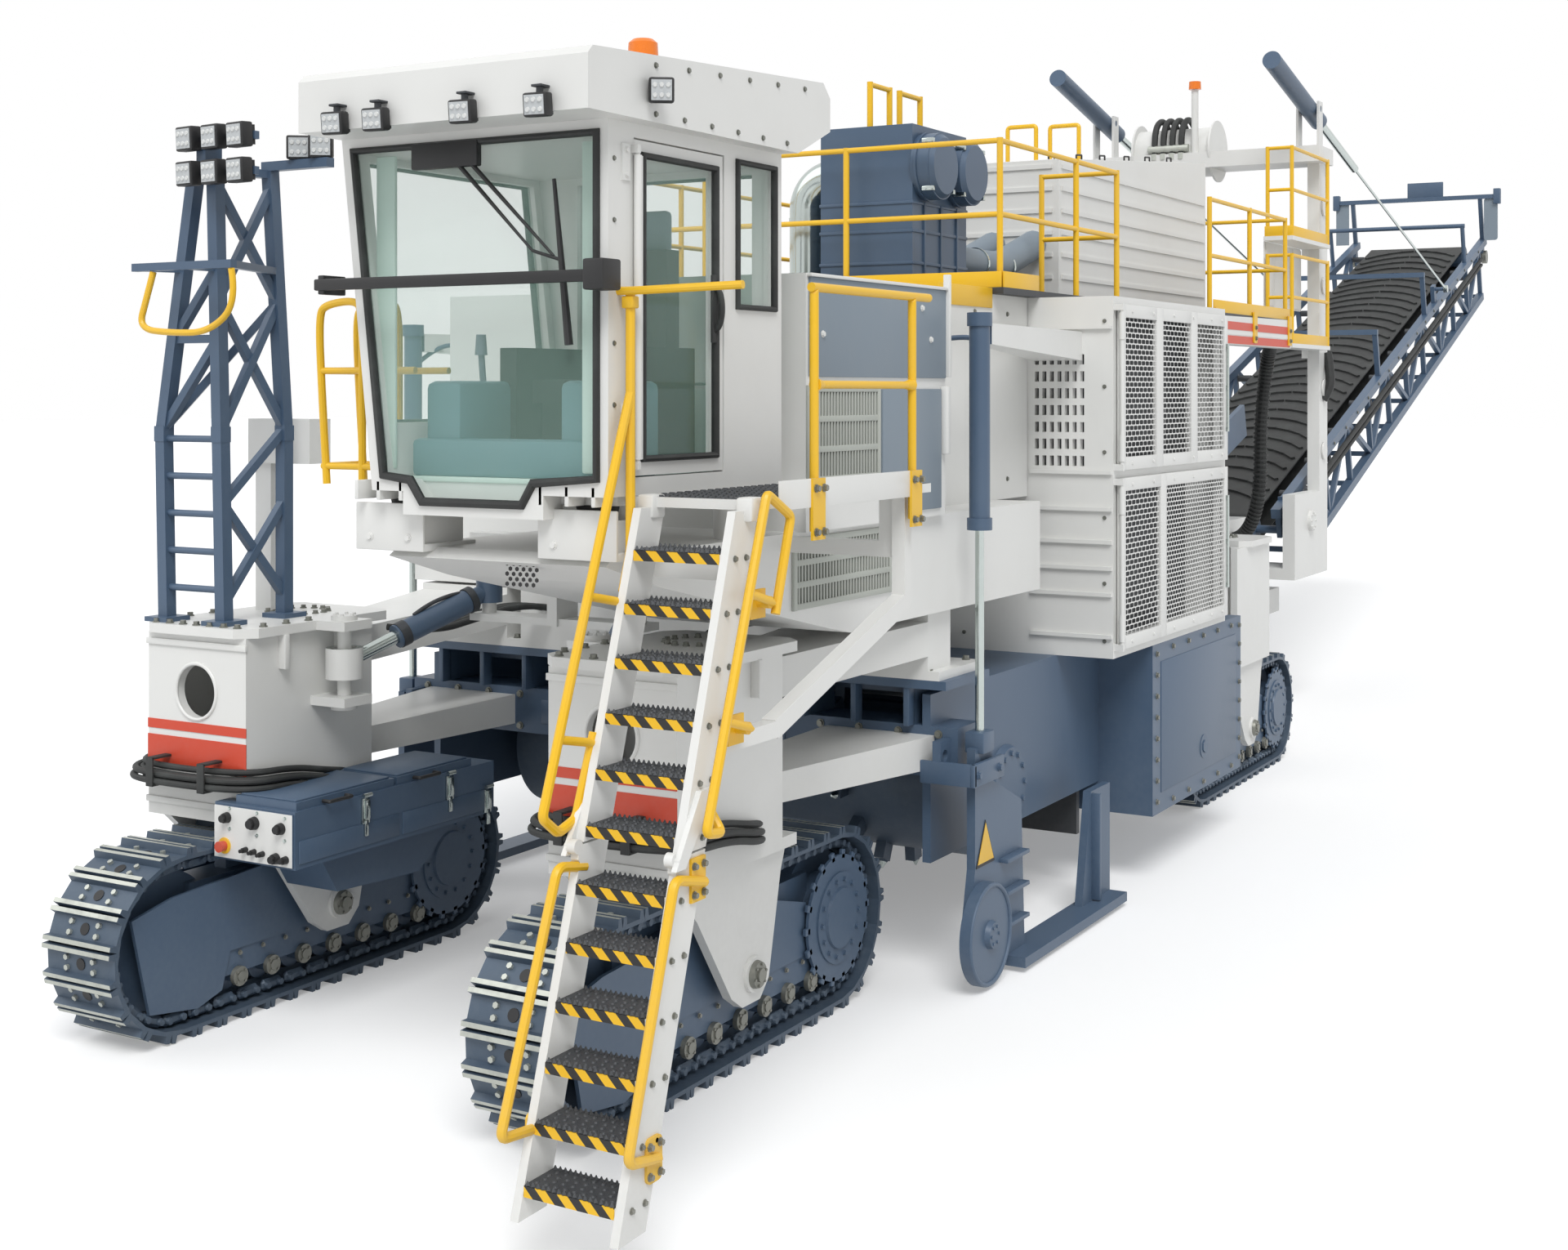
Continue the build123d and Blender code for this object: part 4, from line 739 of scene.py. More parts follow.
# platform: corner blocks, kick plate and raised dots
edge = bmesh.new()
for low, high in ((2.405, 2.50), (2.97, 3.062)):
    addBox(edge, (low, -5.135, 3.345), (high, -5.02, 3.462), 0.014)
addBox(edge, (3.046, -4.86, 3.385), (3.054, -3.30, 3.53), 0.002)
makePiece("platformEdge", edge, "white")
dots = bmesh.new()
dotField = {"first": (2.42, -5.06, 3.45), "pitch": 0.073, "rows": 9, "columns": 26}
for row in range(dotField["rows"]):
    for column in range(dotField["columns"]):
        foot = Vector(dotField["first"]) + Vector((row, column, 0)) * dotField["pitch"]
        addRod(dots, foot, foot + Vector((0, 0, 0.009)), 0.022, 8, 0.014)
makePiece("platformDots", dots, "darkSteel")
paintFaces("platform", "darkSteel", lambda centre, normal: normal.z > 0.9 and centre.z > 3.44)

# cab: gaskets, door seal and grip, guard bar, wiper, brackets, buffers, consoles, liner and right-hand rail
cab = {
    "screenY": -5.302,
    "screen": (  # x, z
        (0.930, 3.530),
        (1.110, 3.510),
        (1.190, 3.400),
        (1.830, 3.400),
        (1.900, 3.510),
        (2.285, 3.540),
        (2.285, 5.225),
        (0.725, 5.225),
    ),
    "panes": (  # rear left, back and right
        ((2.352, -4.10, 4.42), (2.352, -3.70, 4.42), (2.352, -3.70, 5.20), (2.352, -4.10, 5.20)),
        ((1.0, -3.618, 4.0), (2.2, -3.618, 4.0), (2.2, -3.618, 5.18), (1.0, -3.618, 5.18)),
        ((0.812, -5.18, 3.8), (0.812, -3.75, 3.8), (0.655, -3.75, 5.18), (0.655, -5.18, 5.18)),
    ),
    "doorPane": ((2.346, -5.0, 3.63), (2.346, -4.31, 3.63), (2.346, -4.31, 5.14), (2.346, -5.0, 5.14)),
    "doorGrip": ((2.345, -4.33, 4.28), (2.40, -4.33, 4.30), (2.40, -4.33, 4.50), (2.345, -4.33, 4.52)),
    "wiperArms": (((1.35, 5.20), (1.92, 4.66)), ((1.43, 5.20), (2.05, 4.63))),  # x, z of foot and head
}
gasket = bmesh.new()
addTube(gasket, [(x, cab["screenY"], z) for x, z in cab["screen"]], 0.026, cyclic=True, smooth=False)
for pane in cab["panes"]:
    addTube(gasket, pane, 0.022, cyclic=True, smooth=False)
makePiece("cabGaskets", gasket, "rubber")
doorSeal = bmesh.new()
addTube(doorSeal, cab["doorPane"], 0.024, cyclic=True, smooth=False)
addTube(doorSeal, cab["doorGrip"], 0.016)
addBox(doorSeal, (2.345, -4.36, 4.22), (2.362, -4.29, 4.58), 0.006)
makePiece("doorSeal", doorSeal, "rubber", "cab_door")
fittings = bmesh.new()
addBox(fittings, (0.60, -5.47, 4.49), (2.42, -5.44, 4.55), 0.008)  # guard bar
for x in (0.62, 2.36):
    addBox(fittings, (x, -5.46, 4.47), (x + 0.04, -5.29, 4.57), 0.006)
addBox(fittings, (2.33, -5.49, 4.45), (2.45, -5.33, 4.60), 0.012)
for (footX, footZ), (headX, headZ) in cab["wiperArms"]:
    addRod(fittings, (footX, -5.315, footZ), (headX, -5.335, headZ), 0.014, 10, 0.007)
    addRod(fittings, (footX, -5.30, footZ), (footX, -5.33, footZ), 0.026, 14)
addRod(fittings, (1.92, -5.335, 4.66), (2.09, -5.335, 4.61), 0.009, 8)
bmesh.ops.create_cone(  # wiper blade
    fittings,
    cap_ends=True,
    segments=8,
    radius1=0.022,
    radius2=0.010,
    depth=0.82,
    matrix=Matrix.Translation((2.095, -5.332, 4.60)) @ Matrix.Rotation(-0.11, 4, "Y"),
)
addBox(fittings, (1.14, -5.335, 5.10), (1.57, -5.29, 5.235), 0.01)
makePiece("cabFittings", fittings, "black")
seams = bmesh.new()
for bolt in range(6):
    addBolt(seams, (2.46, -5.05 + bolt * 0.30, 5.57 + bolt * 0.017), (1, 0, 0), 0.012, 0.01)
    addBolt(seams, (2.46, -5.05 + bolt * 0.26, 5.33), (1, 0, 0), 0.012, 0.01)
addBolt(seams, (2.46, -5.02, 5.45), (1, 0, 0), 0.012, 0.01)
for bolt in range(6):
    addBolt(seams, (2.35, -5.25, 3.6 + bolt * 0.3), (1, 0, 0), 0.01, 0.008)
makePiece("roofBolts", seams, "oliveCap")
mounts = bmesh.new()
for low, high in ((0.66, 1.12), (1.86, 2.34)):
    addBox(mounts, (low, -5.20, 3.13), (high, -4.78, 3.17), 0.006)
    addBox(mounts, (low, -5.215, 3.13), (high, -5.195, 3.38), 0.006)
    addBox(mounts, (low + 0.04, -5.15, 3.40), (high - 0.04, -4.8, 3.45), 0.006)
    for x in (low + 0.03, high - 0.05):
        addBox(mounts, (x, -5.19, 3.15), (x + 0.02, -4.85, 3.33), 0.004)
    for x in (low + 0.10, high - 0.10):
        addBolt(mounts, (x, -5.215, 3.20), (0, -1, 0), 0.016, 0.014)
    for x in (low + 0.08, (low + high) / 2, high - 0.08):
        addBox(mounts, (x - 0.012, -5.30, 3.40), (x + 0.012, -5.16, 3.50), 0.004)
for z in (3.72, 5.0):
    addRoundPlate(mounts, (2.35, -5.19, z), (2.36, -5.125, z + 0.18), 0.015)
    for shift in (0.03, 0.15):
        addBolt(mounts, (2.36, -5.158, z + shift), (1, 0, 0), 0.011, 0.01)
makePiece("cabBrackets", mounts, "white")
# black dots where the vent holes are: painted shade in the holes
ventShade = bmesh.new()
for row in range(6):
    for column in range(5):
        x, z = 1.58 + column * 0.042 + (0.021 if row % 2 else 0), 2.98 + row * 0.026
        addRod(ventShade, (x, -5.102, z), (x, -5.098, z), 0.012, 6)
makePiece("boomVentShade", ventShade, "black")
buffers = bmesh.new()
for x in (0.89, 2.10):
    addRod(buffers, (x, -5.02, 3.17), (x, -5.02, 3.27), 0.12, 28, 0.10)
    addRod(buffers, (x, -5.02, 3.29), (x, -5.02, 3.40), 0.10, 28, 0.12)
makePiece("cabBuffers", buffers, "rubber")
inside = bmesh.new()
for x in (1.05, 1.92):
    addBox(inside, (x, -5.12, 3.52), (x + 0.24, -4.55, 4.02), 0.04)
addBox(inside, (1.0, -5.17, 3.52), (2.22, -4.98, 3.72), 0.03)
makePiece("cabConsoles", inside, "teal")
inside = bmesh.new()
for x in (1.17, 2.04):
    addRod(inside, (x, -4.78, 4.0), (x, -4.80, 4.18), 0.018, 10)
    addRod(inside, (x, -4.80, 4.16), (x, -4.80, 4.27), 0.034, 14, 0.026)
addBox(inside, (1.46, -3.93, 4.74), (1.79, -3.86, 4.98), 0.03)
addBox(inside, (2.05, -5.05, 4.30), (2.09, -4.78, 4.52), 0.012)
addRod(inside, (2.07, -4.9, 4.02), (2.07, -4.9, 4.32), 0.016, 10)
makePiece("cabInside", inside, "greyPanel")
liner = bmesh.new()
for low, high in ((0.80, 0.93), (2.13, 2.275)):
    addBox(liner, (low, -5.215, 3.56), (high, -5.19, 5.20), 0.01)
addBox(liner, (0.95, -5.21, 3.50), (2.27, -3.70, 3.525), 0.004)
addBox(liner, (0.95, -3.705, 3.53), (2.27, -3.695, 3.98), 0.003)
makePiece("cabLiner", liner, "mint")
rightRail = bmesh.new()
loop = [
    (0.16, 3.45),
    (0.12, 4.0),
    (0.10, 4.40),
    (0.16, 4.45),
    (0.36, 4.47),
    (0.42, 4.42),
    (0.42, 4.0),
    (0.42, 3.45),
]
addTube(rightRail, [(x, -4.9, z) for x, z in loop], 0.022)
addTube(rightRail, [(x + 0.02, -4.62, z) for x, z in loop], 0.022)
for z in (3.55, 4.08):
    for y in (-4.9, -4.62):
        addRod(rightRail, (0.13, y, z), (0.80, y, z), 0.019, 12)
    addRod(rightRail, (0.14, -4.9, z), (0.14, -4.62, z), 0.019, 12)
makePiece("cabRightRail", rightRail, "yellow")
print("cab done")

# work lamps: finned black housings with lenses, and the cab's beacon
def addLamp(housing, lenses, leds, centre, facing, width=0.16, height=0.14, depth=0.085):
    place = Matrix.Translation(centre) @ Vector(facing).to_track_quat("-Y", "Z").to_matrix().to_4x4()
    face = -depth / 2
    addBlock(housing, place, (width, depth, height), 0.012)
    for fin in range(-2, 3):
        spot = Matrix.Translation((fin * width / 6, depth * 0.62, 0))
        addBlock(housing, place @ spot, (0.008, depth * 0.5, height * 0.8))
    addBlock(lenses, place @ Matrix.Translation((0, face - 0.001, 0)), (width * 0.80, 0.008, height * 0.80))
    for column in (-1, 0, 1):
        for row in (-1, 1):
            x, z = column * width * 0.26, row * height * 0.2
            foot, tip = place @ Vector((x, face - 0.004, z)), place @ Vector((x, face - 0.012, z))
            addRod(leds, foot, tip, width * 0.105, 12, width * 0.08)


housing, lenses, leds, brackets = bmesh.new(), bmesh.new(), bmesh.new(), bmesh.new()
for x in (0.94, 1.21, 1.76, 2.21):
    addLamp(housing, lenses, leds, (x, -5.675, 5.315), (0.12, -1, -0.1), 0.13, 0.115, 0.07)
    addRod(brackets, (x, -5.66, 5.36), (x, -5.66, 5.405), 0.018, 10)
    addBox(brackets, (x - 0.03, -5.69, 5.40), (x + 0.03, -5.615, 5.412), 0.003)
addLamp(housing, lenses, leds, (2.53, -5.105, 5.435), (0.55, -0.8, -0.1), 0.125, 0.125, 0.075)
addRod(brackets, (2.45, -5.08, 5.435), (2.52, -5.10, 5.435), 0.022, 10)
lampPiece = makePiece("cabLampHousings", housing, "black")
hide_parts("cab_lamps")
makePiece("cabLampLenses", lenses, "lens")
makePiece("cabLampLeds", leds, "led")
makePiece("cabLampBrackets", brackets, "darkSteel")
beacon, base = bmesh.new(), bmesh.new()
spot = (1.98, -4.45)
addRod(beacon, (*spot, 5.735), (*spot, 5.815), 0.082, 32, 0.078)
addRod(beacon, (*spot, 5.815), (*spot, 5.835), 0.078, 32, 0.055)
makePiece("cabBeacon", beacon, "amber")
addRod(base, (*spot, 5.69), (*spot, 5.735), 0.088, 28)
makePiece("cabBeaconBase", base, "black")
mastBody = "crawler_front_right"  # the leg that carries the light mast and the control box
housing, lenses, leds, brackets = bmesh.new(), bmesh.new(), bmesh.new(), bmesh.new()
for x in (-1.61, -1.39, -1.17):
    for z in (5.34, 5.56):
        addLamp(housing, lenses, leds, (x, -4.255, z), (-0.12, -1, -0.05), 0.165, 0.155)
        addRod(brackets, (x, -4.22, z), (x, -4.18, z), 0.022, 10)
for x in (-1.2, -1.01):
    addLamp(housing, lenses, leds, (x, -3.705, 5.54), (0.6, -0.8, -0.05), 0.155, 0.155)
lampPiece = makePiece("mastLampHousings", housing, "black", mastBody)
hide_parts("mast_lamps")
makePiece("mastLampLenses", lenses, "lens", mastBody)
makePiece("mastLampLeds", leds, "led", mastBody)
makePiece("mastLampBrackets", brackets, "darkSteel", mastBody)
dropBar = bmesh.new()
route = [
    (-1.80, -4.37, 4.72),
    (-1.84, -4.39, 4.55),
    (-1.90, -4.40, 4.36),
    (-1.60, -4.40, 4.33),
    (-1.28, -4.40, 4.33),
    (-1.05, -4.39, 4.50),
    (-1.12, -4.37, 4.72),
]
addTube(dropBar, route, 0.021)
makePiece("mastDropBar", dropBar, "yellow", mastBody)
print("lamps done")

# control box: white panel, knobs, stop button, latches, screws and lids
paintFaces("control_box", "white", lambda centre, normal: centre.y < -4.331 and normal.y < -0.5)
controls = bmesh.new()
panel = {
    "y": -4.345,
    "stop": (-1.2, 1.16),
    "knobs": (  # x, z, radius
        (-1.18, 1.335, 0.030),
        (-0.95, 1.325, 0.036),
        (-0.73, 1.315, 0.032),
        (-1.02, 1.155, 0.016),
        (-0.95, 1.150, 0.016),
        (-0.88, 1.145, 0.016),
        (-0.77, 1.130, 0.030),
        (-0.69, 1.130, 0.022),
    ),
    "screws": (
        (-1.16, 1.393), (-1.16, 1.268), (-0.93, 1.388), (-0.93, 1.252), (-0.70, 1.380), (-0.70, 1.245)
    ),
}
for x, z, radius in panel["knobs"]:
    addRod(controls, (x, panel["y"], z), (x, panel["y"] - 0.035, z), radius * 1.15, 16, radius)
    addRod(controls, (x, panel["y"] - 0.035, z), (x, panel["y"] - 0.055, z), radius * 0.75, 12)
for y in (-3.98, -3.14):  # lid handles
    bends = [(-0.64, y - 0.10), (-0.585, y - 0.10), (-0.585, y + 0.10), (-0.64, y + 0.10)]
    addTube(controls, softened([(*bend, 1.445) for bend in bends], 0.02), 0.012)
makePiece("controlKnobs", controls, "black", mastBody)
ring, button = bmesh.new(), bmesh.new()
x, z = panel["stop"]
addRod(ring, (x, panel["y"], z), (x, panel["y"] - 0.008, z), 0.05, 24)
makePiece("stopRing", ring, "yellow", mastBody)
addRod(button, (x, panel["y"] - 0.008, z), (x, panel["y"] - 0.055, z), 0.03, 20, 0.034)
makePiece("stopButton", button, "red", mastBody)
latches = bmesh.new()
for y, z in ((-3.72, 1.42), (-2.90, 1.42), (-2.50, 1.26)):
    addBox(latches, (-0.632, y - 0.034, z - 0.18), (-0.612, y + 0.034, z - 0.02), 0.004)
    addBox(latches, (-0.615, y - 0.020, z - 0.15), (-0.596, y + 0.020, z - 0.03), 0.004)
    addRod(latches, (-0.603, y - 0.036, z), (-0.603, y + 0.036, z), 0.013, 10)
    addBox(latches, (-0.625, y - 0.016, z - 0.26), (-0.606, y + 0.016, z - 0.16), 0.004)
makePiece("boxLatches", latches, "chrome", mastBody)
screws = bmesh.new()
for x, z in panel["screws"]:
    addBolt(screws, (x, panel["y"], z), (0, -1, 0), 0.009, 0.01)
makePiece("panelScrews", screws, "chrome", mastBody)
lids = bmesh.new()
for low, high in ((-4.28, -3.44), (-3.37, -2.66)):
    addBox(lids, (-1.13, low, 1.468), (-0.67, high, 1.482), 0.006)
for low, high in ((-4.30, -3.40), (-3.36, -2.45)):
    addBox(lids, (-0.632, low, 1.10), (-0.622, high, 1.24), 0.004)
makePiece("boxLids", lids, "blue", mastBody)
print("control box done")

# radiator doors: perforated sheet, frame, hinges and rod handles
door = {
    "x": 2.605,
    "span": (1.06, 3.77),
    "coarse": (0.094, 0.042, 0.0065),  # cell width, cell height, web
    "fine": (0.066, 0.036, 0.0062),
    "fields": {
        "upper": (((1.16, 1.88), "coarse"), ((2.04, 2.76), "coarse"), ((2.92, 3.68), "coarse")),
        "lower": (((1.16, 1.98), "coarse"), ((2.12, 3.68), "fine")),
    },
    "levels": {"lower": (1.99, 3.30), "upper": (3.36, 4.63)},
    "hinge": (2.66, 1.03),  # x, y
    "rod": (2.66, 3.72),
    "screwX": 2.644,
    "screwY": (1.3, 1.8, 2.3, 2.8, 3.3, 3.6),
}


def addPerforation(mesh, x, yLimits, zLimits, pattern):
    width, height, web = door[pattern]
    columns = round((yLimits[1] - yLimits[0]) / width)
    rows = round((zLimits[1] - zLimits[0]) / height)
    stepY = (yLimits[1] - yLimits[0]) / columns
    stepZ = (zLimits[1] - zLimits[0]) / rows
    upright = Matrix.Rotation(math.radians(90), 4, "Y")
    for row in range(rows):
        shift = stepY / 4 if row % 2 else -stepY / 4
        middle = (x, sum(yLimits) / 2 + shift, zLimits[0] + (row + 0.5) * stepZ)
        place = Matrix.Translation(middle) @ upright @ Matrix.Diagonal((stepZ, stepY * columns, 1, 1))
        made = bmesh.ops.create_grid(mesh, x_segments=1, y_segments=columns, size=0.5, matrix=place)
        cells = list({face for vert in made["verts"] for face in vert.link_faces})
        bmesh.ops.inset_individual(mesh, faces=cells, thickness=web)
        rims = list({vert for face in cells for vert in face.verts})
        bmesh.ops.bevel(
            mesh, geom=rims, offset=0.008, segments=1, profile=0.5, affect="VERTICES", material=-1
        )
    middles = [face for face in mesh.faces if len(face.verts) == 8]
    bmesh.ops.delete(mesh, geom=middles, context="FACES_ONLY")


for sideName, side in sides:
    for level, (low, high) in door["levels"].items():
        body = "radiator_door_" + level + "_" + sideName
        sheet = bmesh.new()
        fields = door["fields"][level]
        for field, pattern in fields:
            part = bmesh.new()
            addPerforation(part, side * (door["x"] + 0.028), field, (low + 0.09, high - 0.09), pattern)
            perforated = bpy.data.meshes.new("field")
            part.to_mesh(perforated)
            part.free()
            sheet.from_mesh(perforated)
            bpy.data.meshes.remove(perforated)
        bmesh.ops.remove_doubles(sheet, verts=sheet.verts, dist=0.0004)
        doorSheet = makePiece("doorSheet." + level + "." + sideName, sheet, "white", body)
        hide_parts(body)
        frameMesh = bmesh.new()
        inner, outer = sorted((side * (door["x"] + 0.002), side * (door["x"] + 0.040)))
        start, end = door["span"]
        posts = [start] + [edge for field, pattern in fields for edge in field] + [end]
        for first, second in zip(posts[::2], posts[1::2]):
            addBox(frameMesh, (inner, first, low), (outer, second, high), 0.006)
        for field, pattern in fields:
            for z in ((low, low + 0.10), (high - 0.10, high)):
                addBox(
                    frameMesh,
                    (inner, field[0] - 0.004, z[0]),
                    (outer - 0.0006, field[1] + 0.004, z[1]),
                    0.005,
                )
        x, y = door["hinge"]
        for z in (low + 0.17, high - 0.17):
            addRod(frameMesh, (side * x, y, z - 0.10), (side * x, y, z + 0.10), 0.022, 16)
            for leaf in (z - 0.075, z + 0.075):
                addSideBox(
                    frameMesh, side, (x - 0.028, x), (y, y + 0.09), (leaf - 0.02, leaf + 0.02), 0.004
                )
        for z in (low + 0.05, high - 0.05):
            for y in door["screwY"]:
                addBolt(frameMesh, (side * door["screwX"], y, z), (side, 0, 0), 0.012, 0.01)
        makePiece("doorFrame." + level + "." + sideName, frameMesh, "white", body)
        grip = bmesh.new()
        x, y = door["rod"]
        addRod(grip, (side * x, y, low + 0.25), (side * x, y, high - 0.25), 0.012, 12)
        for z in (low + 0.27, (low + high) / 2, high - 0.27):
            addSideBox(
                grip, side, (x - 0.02, x + 0.008), (y - 0.018, y + 0.018), (z - 0.02, z + 0.02), 0.004
            )
        makePiece("doorRod." + level + "." + sideName, grip, "chrome", body)
print("radiator doors done")

# housings: grey covers, flange, louvres, bolts and cover plates
cabinet = bmesh.new()
addBox(cabinet, (2.298, -3.22, 4.05), (2.318, -1.38, 4.63), 0.006)
addBox(cabinet, (2.300, -2.30, 3.20), (2.318, -1.45, 3.98), 0.006)
makePiece("cabinetCovers", cabinet, "greyPanel")
flange = bmesh.new()
addBox(flange, (2.296, -1.385, 4.06), (2.345, -1.355, 4.735), 0.006)
addBox(flange, (2.296, -3.24, 4.63), (2.335, -1.36, 4.65), 0.004)
addBox(flange, (2.30, -1.44, 3.55), (2.35, -1.37, 4.0), 0.012)
for y, z in ((-3.08, 4.30), (-1.75, 4.50), (-1.62, 4.30)):
    addBolt(flange, (2.318, y, z), (1, 0, 0), 0.016, 0.014)
makePiece("cabinetFlange", flange, "white")
# a black sheet behind the louvre bars: painted shade in the gaps between them
louvres, louvreShade = bmesh.new(), bmesh.new()
for x, y, z in ((2.3, (-3.22, -2.36), (3.45, 3.98)), (2.25, (-3.30, -2.10), (2.72, 3.10))):
    addBox(louvreShade, (x + 0.001, y[0], z[0]), (x + 0.004, y[1], z[1]))
    for low in (y[0] - 0.03, y[1] - 0.01):
        addBox(louvres, (x, low, z[0] - 0.02), (x + 0.02, low + 0.04, z[1] + 0.02), 0.004)
    rows = 3
    for row in range(rows + 1):
        middle = z[0] + row * (z[1] - z[0]) / rows
        addBox(louvres, (x, y[0], middle - 0.018), (x + 0.018, y[1], middle + 0.018), 0.003)
    bars = round((y[1] - y[0]) / 0.038)
    for bar in range(1, bars):
        at = y[0] + (y[1] - y[0]) * bar / bars
        addBox(louvres, (x + 0.002, at - 0.008, z[0]), (x + 0.015, at + 0.008, z[1]), 0.002)
makePiece("cabinetLouvres", louvres, "louvre")
makePiece("cabinetLouvreShade", louvreShade, "black")
seams = bmesh.new()
for step in range(-10, 11):  # two rows on the flange between the frames
    x = step * 0.215
    addBolt(seams, (x, -1.30, 2.10), (0, 0, 1), 0.022, 0.03)
    if abs(x) < 0.85 or abs(x) > 1.25:
        addBolt(seams, (x, -0.70, 2.10), (0, 0, 1), 0.022, 0.03)
for side in (1, -1):
    for y in (-1.2, -0.6, 0.0, 0.6):  # power housing
        for z in (3.3, 4.55):
            addBolt(seams, (side * 1.9, y, z), (side, 0, 0), 0.014, 0.012)
    for z in (2.06, 2.5, 3.0, 3.5, 4.0, 4.5):  # front of the radiator house
        for x in (1.36, 2.53):
            addBolt(seams, (side * x, 1.0, z), (0, -1, 0), 0.012, 0.012)
    for row in range(8):  # round the tank's side cover
        for y in (2.0, 4.24):
            addBolt(seams, (side * 2.6, y, 0.66 + row * 0.17), (side, 0, 0), 0.018, 0.02)
    for y in (2.4, 2.8, 3.2, 3.6, 4.0):
        for z in (0.62, 1.87):
            addBolt(seams, (side * 2.6, y, z), (side, 0, 0), 0.018, 0.02)
    for x in (1.3, 1.6, 1.9, 2.2):  # front cross-beam
        for z in (1.43, 1.67):
            addBolt(seams, (side * x, -1.25, z), (0, -1, 0), 0.022, 0.024)
makePiece("frameBolts", seams, "oliveCap")
plates = bmesh.new()
drum = {"z": 1.1, "cover": 0.30, "boltRing": 0.24, "tipRadius": 0.652}
for side in (1, -1):
    # bearing cover on the drum housing's wall
    face, z = side * 2.14, drum["z"]
    addRod(plates, (face, 0, z), (face + side * 0.05, 0, z), drum["cover"], 40, drum["cover"] - 0.02)
    addBoltRing(plates, (face + side * 0.045, 0, z), (side, 0, 0), drum["boltRing"], 12, 0, 0.02, 0.022)
    for x in (2.0, 1.6, 1.2, 0.8):
        addSideBox(plates, side, (x - 0.02, x + 0.02), (-1.34, -1.24), (1.72, 1.98), 0.004)
    # tank's bolted side cover and its drain boss
    addSideBox(plates, side, (2.598, 2.606), (2.10, 4.14), (0.72, 1.78), 0.003)
    addRod(plates, (side * 2.60, 3.2, 0.92), (side * 2.612, 3.2, 0.92), 0.10, 28)
    addRod(plates, (side * 2.60, 3.2, 0.92), (side * 2.622, 3.2, 0.92), 0.055, 6)
    # raised panels on the front cross-beam
    for x in (0.4, 1.2):
        addBox(plates, (side * x + 0.1, -1.258, 1.46), (side * x + 0.62, -1.245, 1.64), 0.005)
makePiece("framePlates", plates, "blue")

# service deck: toe-boards, foot plates of the posts and the banded edge beam
toe = bmesh.new()
addBox(toe, (-1.995, 0.32, 4.74), (-1.985, 8.18, 4.86), 0.002)
addBox(toe, (1.985, 0.32, 4.69), (1.998, 1.0, 4.86), 0.002)
addBox(toe, (1.985, 5.45, 4.74), (1.995, 8.18, 4.86), 0.002)
addBox(toe, (-1.98, 0.305, 4.74), (1.98, 0.315, 4.86), 0.002)
addBox(toe, (-1.98, 8.185, 4.74), (1.98, 8.195, 4.86), 0.002)
addBox(toe, (1.898, -0.62, 4.585), (1.912, 0.30, 4.735), 0.003)  # strip on the housing's side
postBolts = bmesh.new()
for y in (5.5, 6.8, 8.12):
    addRoundPlate(toe, (2.002, y - 0.06, 4.46), (2.018, y + 0.06, 4.78), 0.02)
    for z in (4.51, 4.62):
        addBolt(postBolts, (2.018, y, z), (1, 0, 0), 0.018, 0.02)
makePiece("toeBoards", toe, "yellow")
makePiece("postBolts", postBolts, "oliveCap")
edgeRed, edgeWhite = bmesh.new(), bmesh.new()
for side in (1, -1):
    for band, levels in ((edgeRed, (4.44, 4.52)), (edgeWhite, (4.53, 4.57)), (edgeRed, (4.58, 4.66))):
        addSideBox(band, side, (1.999, 2.004), (5.8, 8.15), levels)
makePiece("edgeBandsRed", edgeRed, "red")
makePiece("edgeBandsWhite", edgeWhite, "white")

# air cleaner with lids, ribs and clamps; hood with hatches, grips and hoops; air pipes
cleaner, clamps = bmesh.new(), bmesh.new()
lidZ = 5.72
for y in (0.72, 1.30):
    addRod(cleaner, (1.30, y, lidZ), (1.335, y, lidZ), 0.25, 40, 0.22)
    addRod(cleaner, (1.18, y, lidZ), (1.20, y, lidZ), 0.272, 40)
    for clamp in range(4):
        angle = math.radians(45 + 90 * clamp)
        centre = Vector((1.27, y + 0.262 * math.cos(angle), lidZ + 0.262 * math.sin(angle)))
        addBox(clamps, centre - Vector((0.05, 0.018, 0.018)), centre + Vector((0.05, 0.018, 0.018)), 0.004)
for z in (4.95, 5.2, 5.42):
    addBox(cleaner, (0.33, 0.49, z), (1.16, 1.51, z + 0.025), 0.004)
for y in (0.7, 1.0, 1.3):
    addBox(cleaner, (1.145, y - 0.012, 4.76), (1.165, y + 0.012, 5.44), 0.003)
makePiece("cleanerRibs", cleaner, "blue")
for z in (4.9, 5.35):
    addRod(clamps, (0, 0.9, z), (0, 0.9, z + 0.035), 0.156, 32)
makePiece("cleanerClamps", clamps, "chrome")
hatches, grips = bmesh.new(), bmesh.new()
hood = {"front": (3.40, 6.06), "back": (7.69, 6.46), "hatches": (3.62, 4.95, 6.28), "length": 1.2}
rise = math.atan2(hood["back"][1] - hood["front"][1], hood["back"][0] - hood["front"][0])
lean = Matrix.Rotation(rise, 4, "X")
for start in hood["hatches"]:
    y = start + hood["length"] / 2
    z = hood["front"][1] + (y - hood["front"][0]) * math.tan(rise)
    for side in (1, -1):
        middle = Vector((side * 0.58, y, z))
        reach = Vector((0.52, hood["length"] / 2, 0.012))
        addBox(hatches, middle - reach, middle + reach, 0.006, lean)
        for shift in (-0.35, 0.35):
            foot = middle + Vector((side * 0.36, shift - 0.07, 0.01 + shift * math.tan(rise)))
            bends = ((0, 0), (0, 0.05), (0.14, 0.063), (0.14, 0.01))
            addTube(grips, softened([foot + Vector((0, *bend)) for bend in bends], 0.02), 0.009)
makePiece("hoodHatches", hatches, "white")
makePiece("hatchGrips", grips, "black")
hoops = bmesh.new()
for x, y in ((0.16, 4.66), (0.55, 4.80)):  # step-over hoops on the hood
    bends = ((x, y, 6.12), (x, y, 6.56), (x + 0.30, y, 6.56), (x + 0.30, y, 6.12))
    addTube(hoops, softened(bends, 0.07), 0.022)
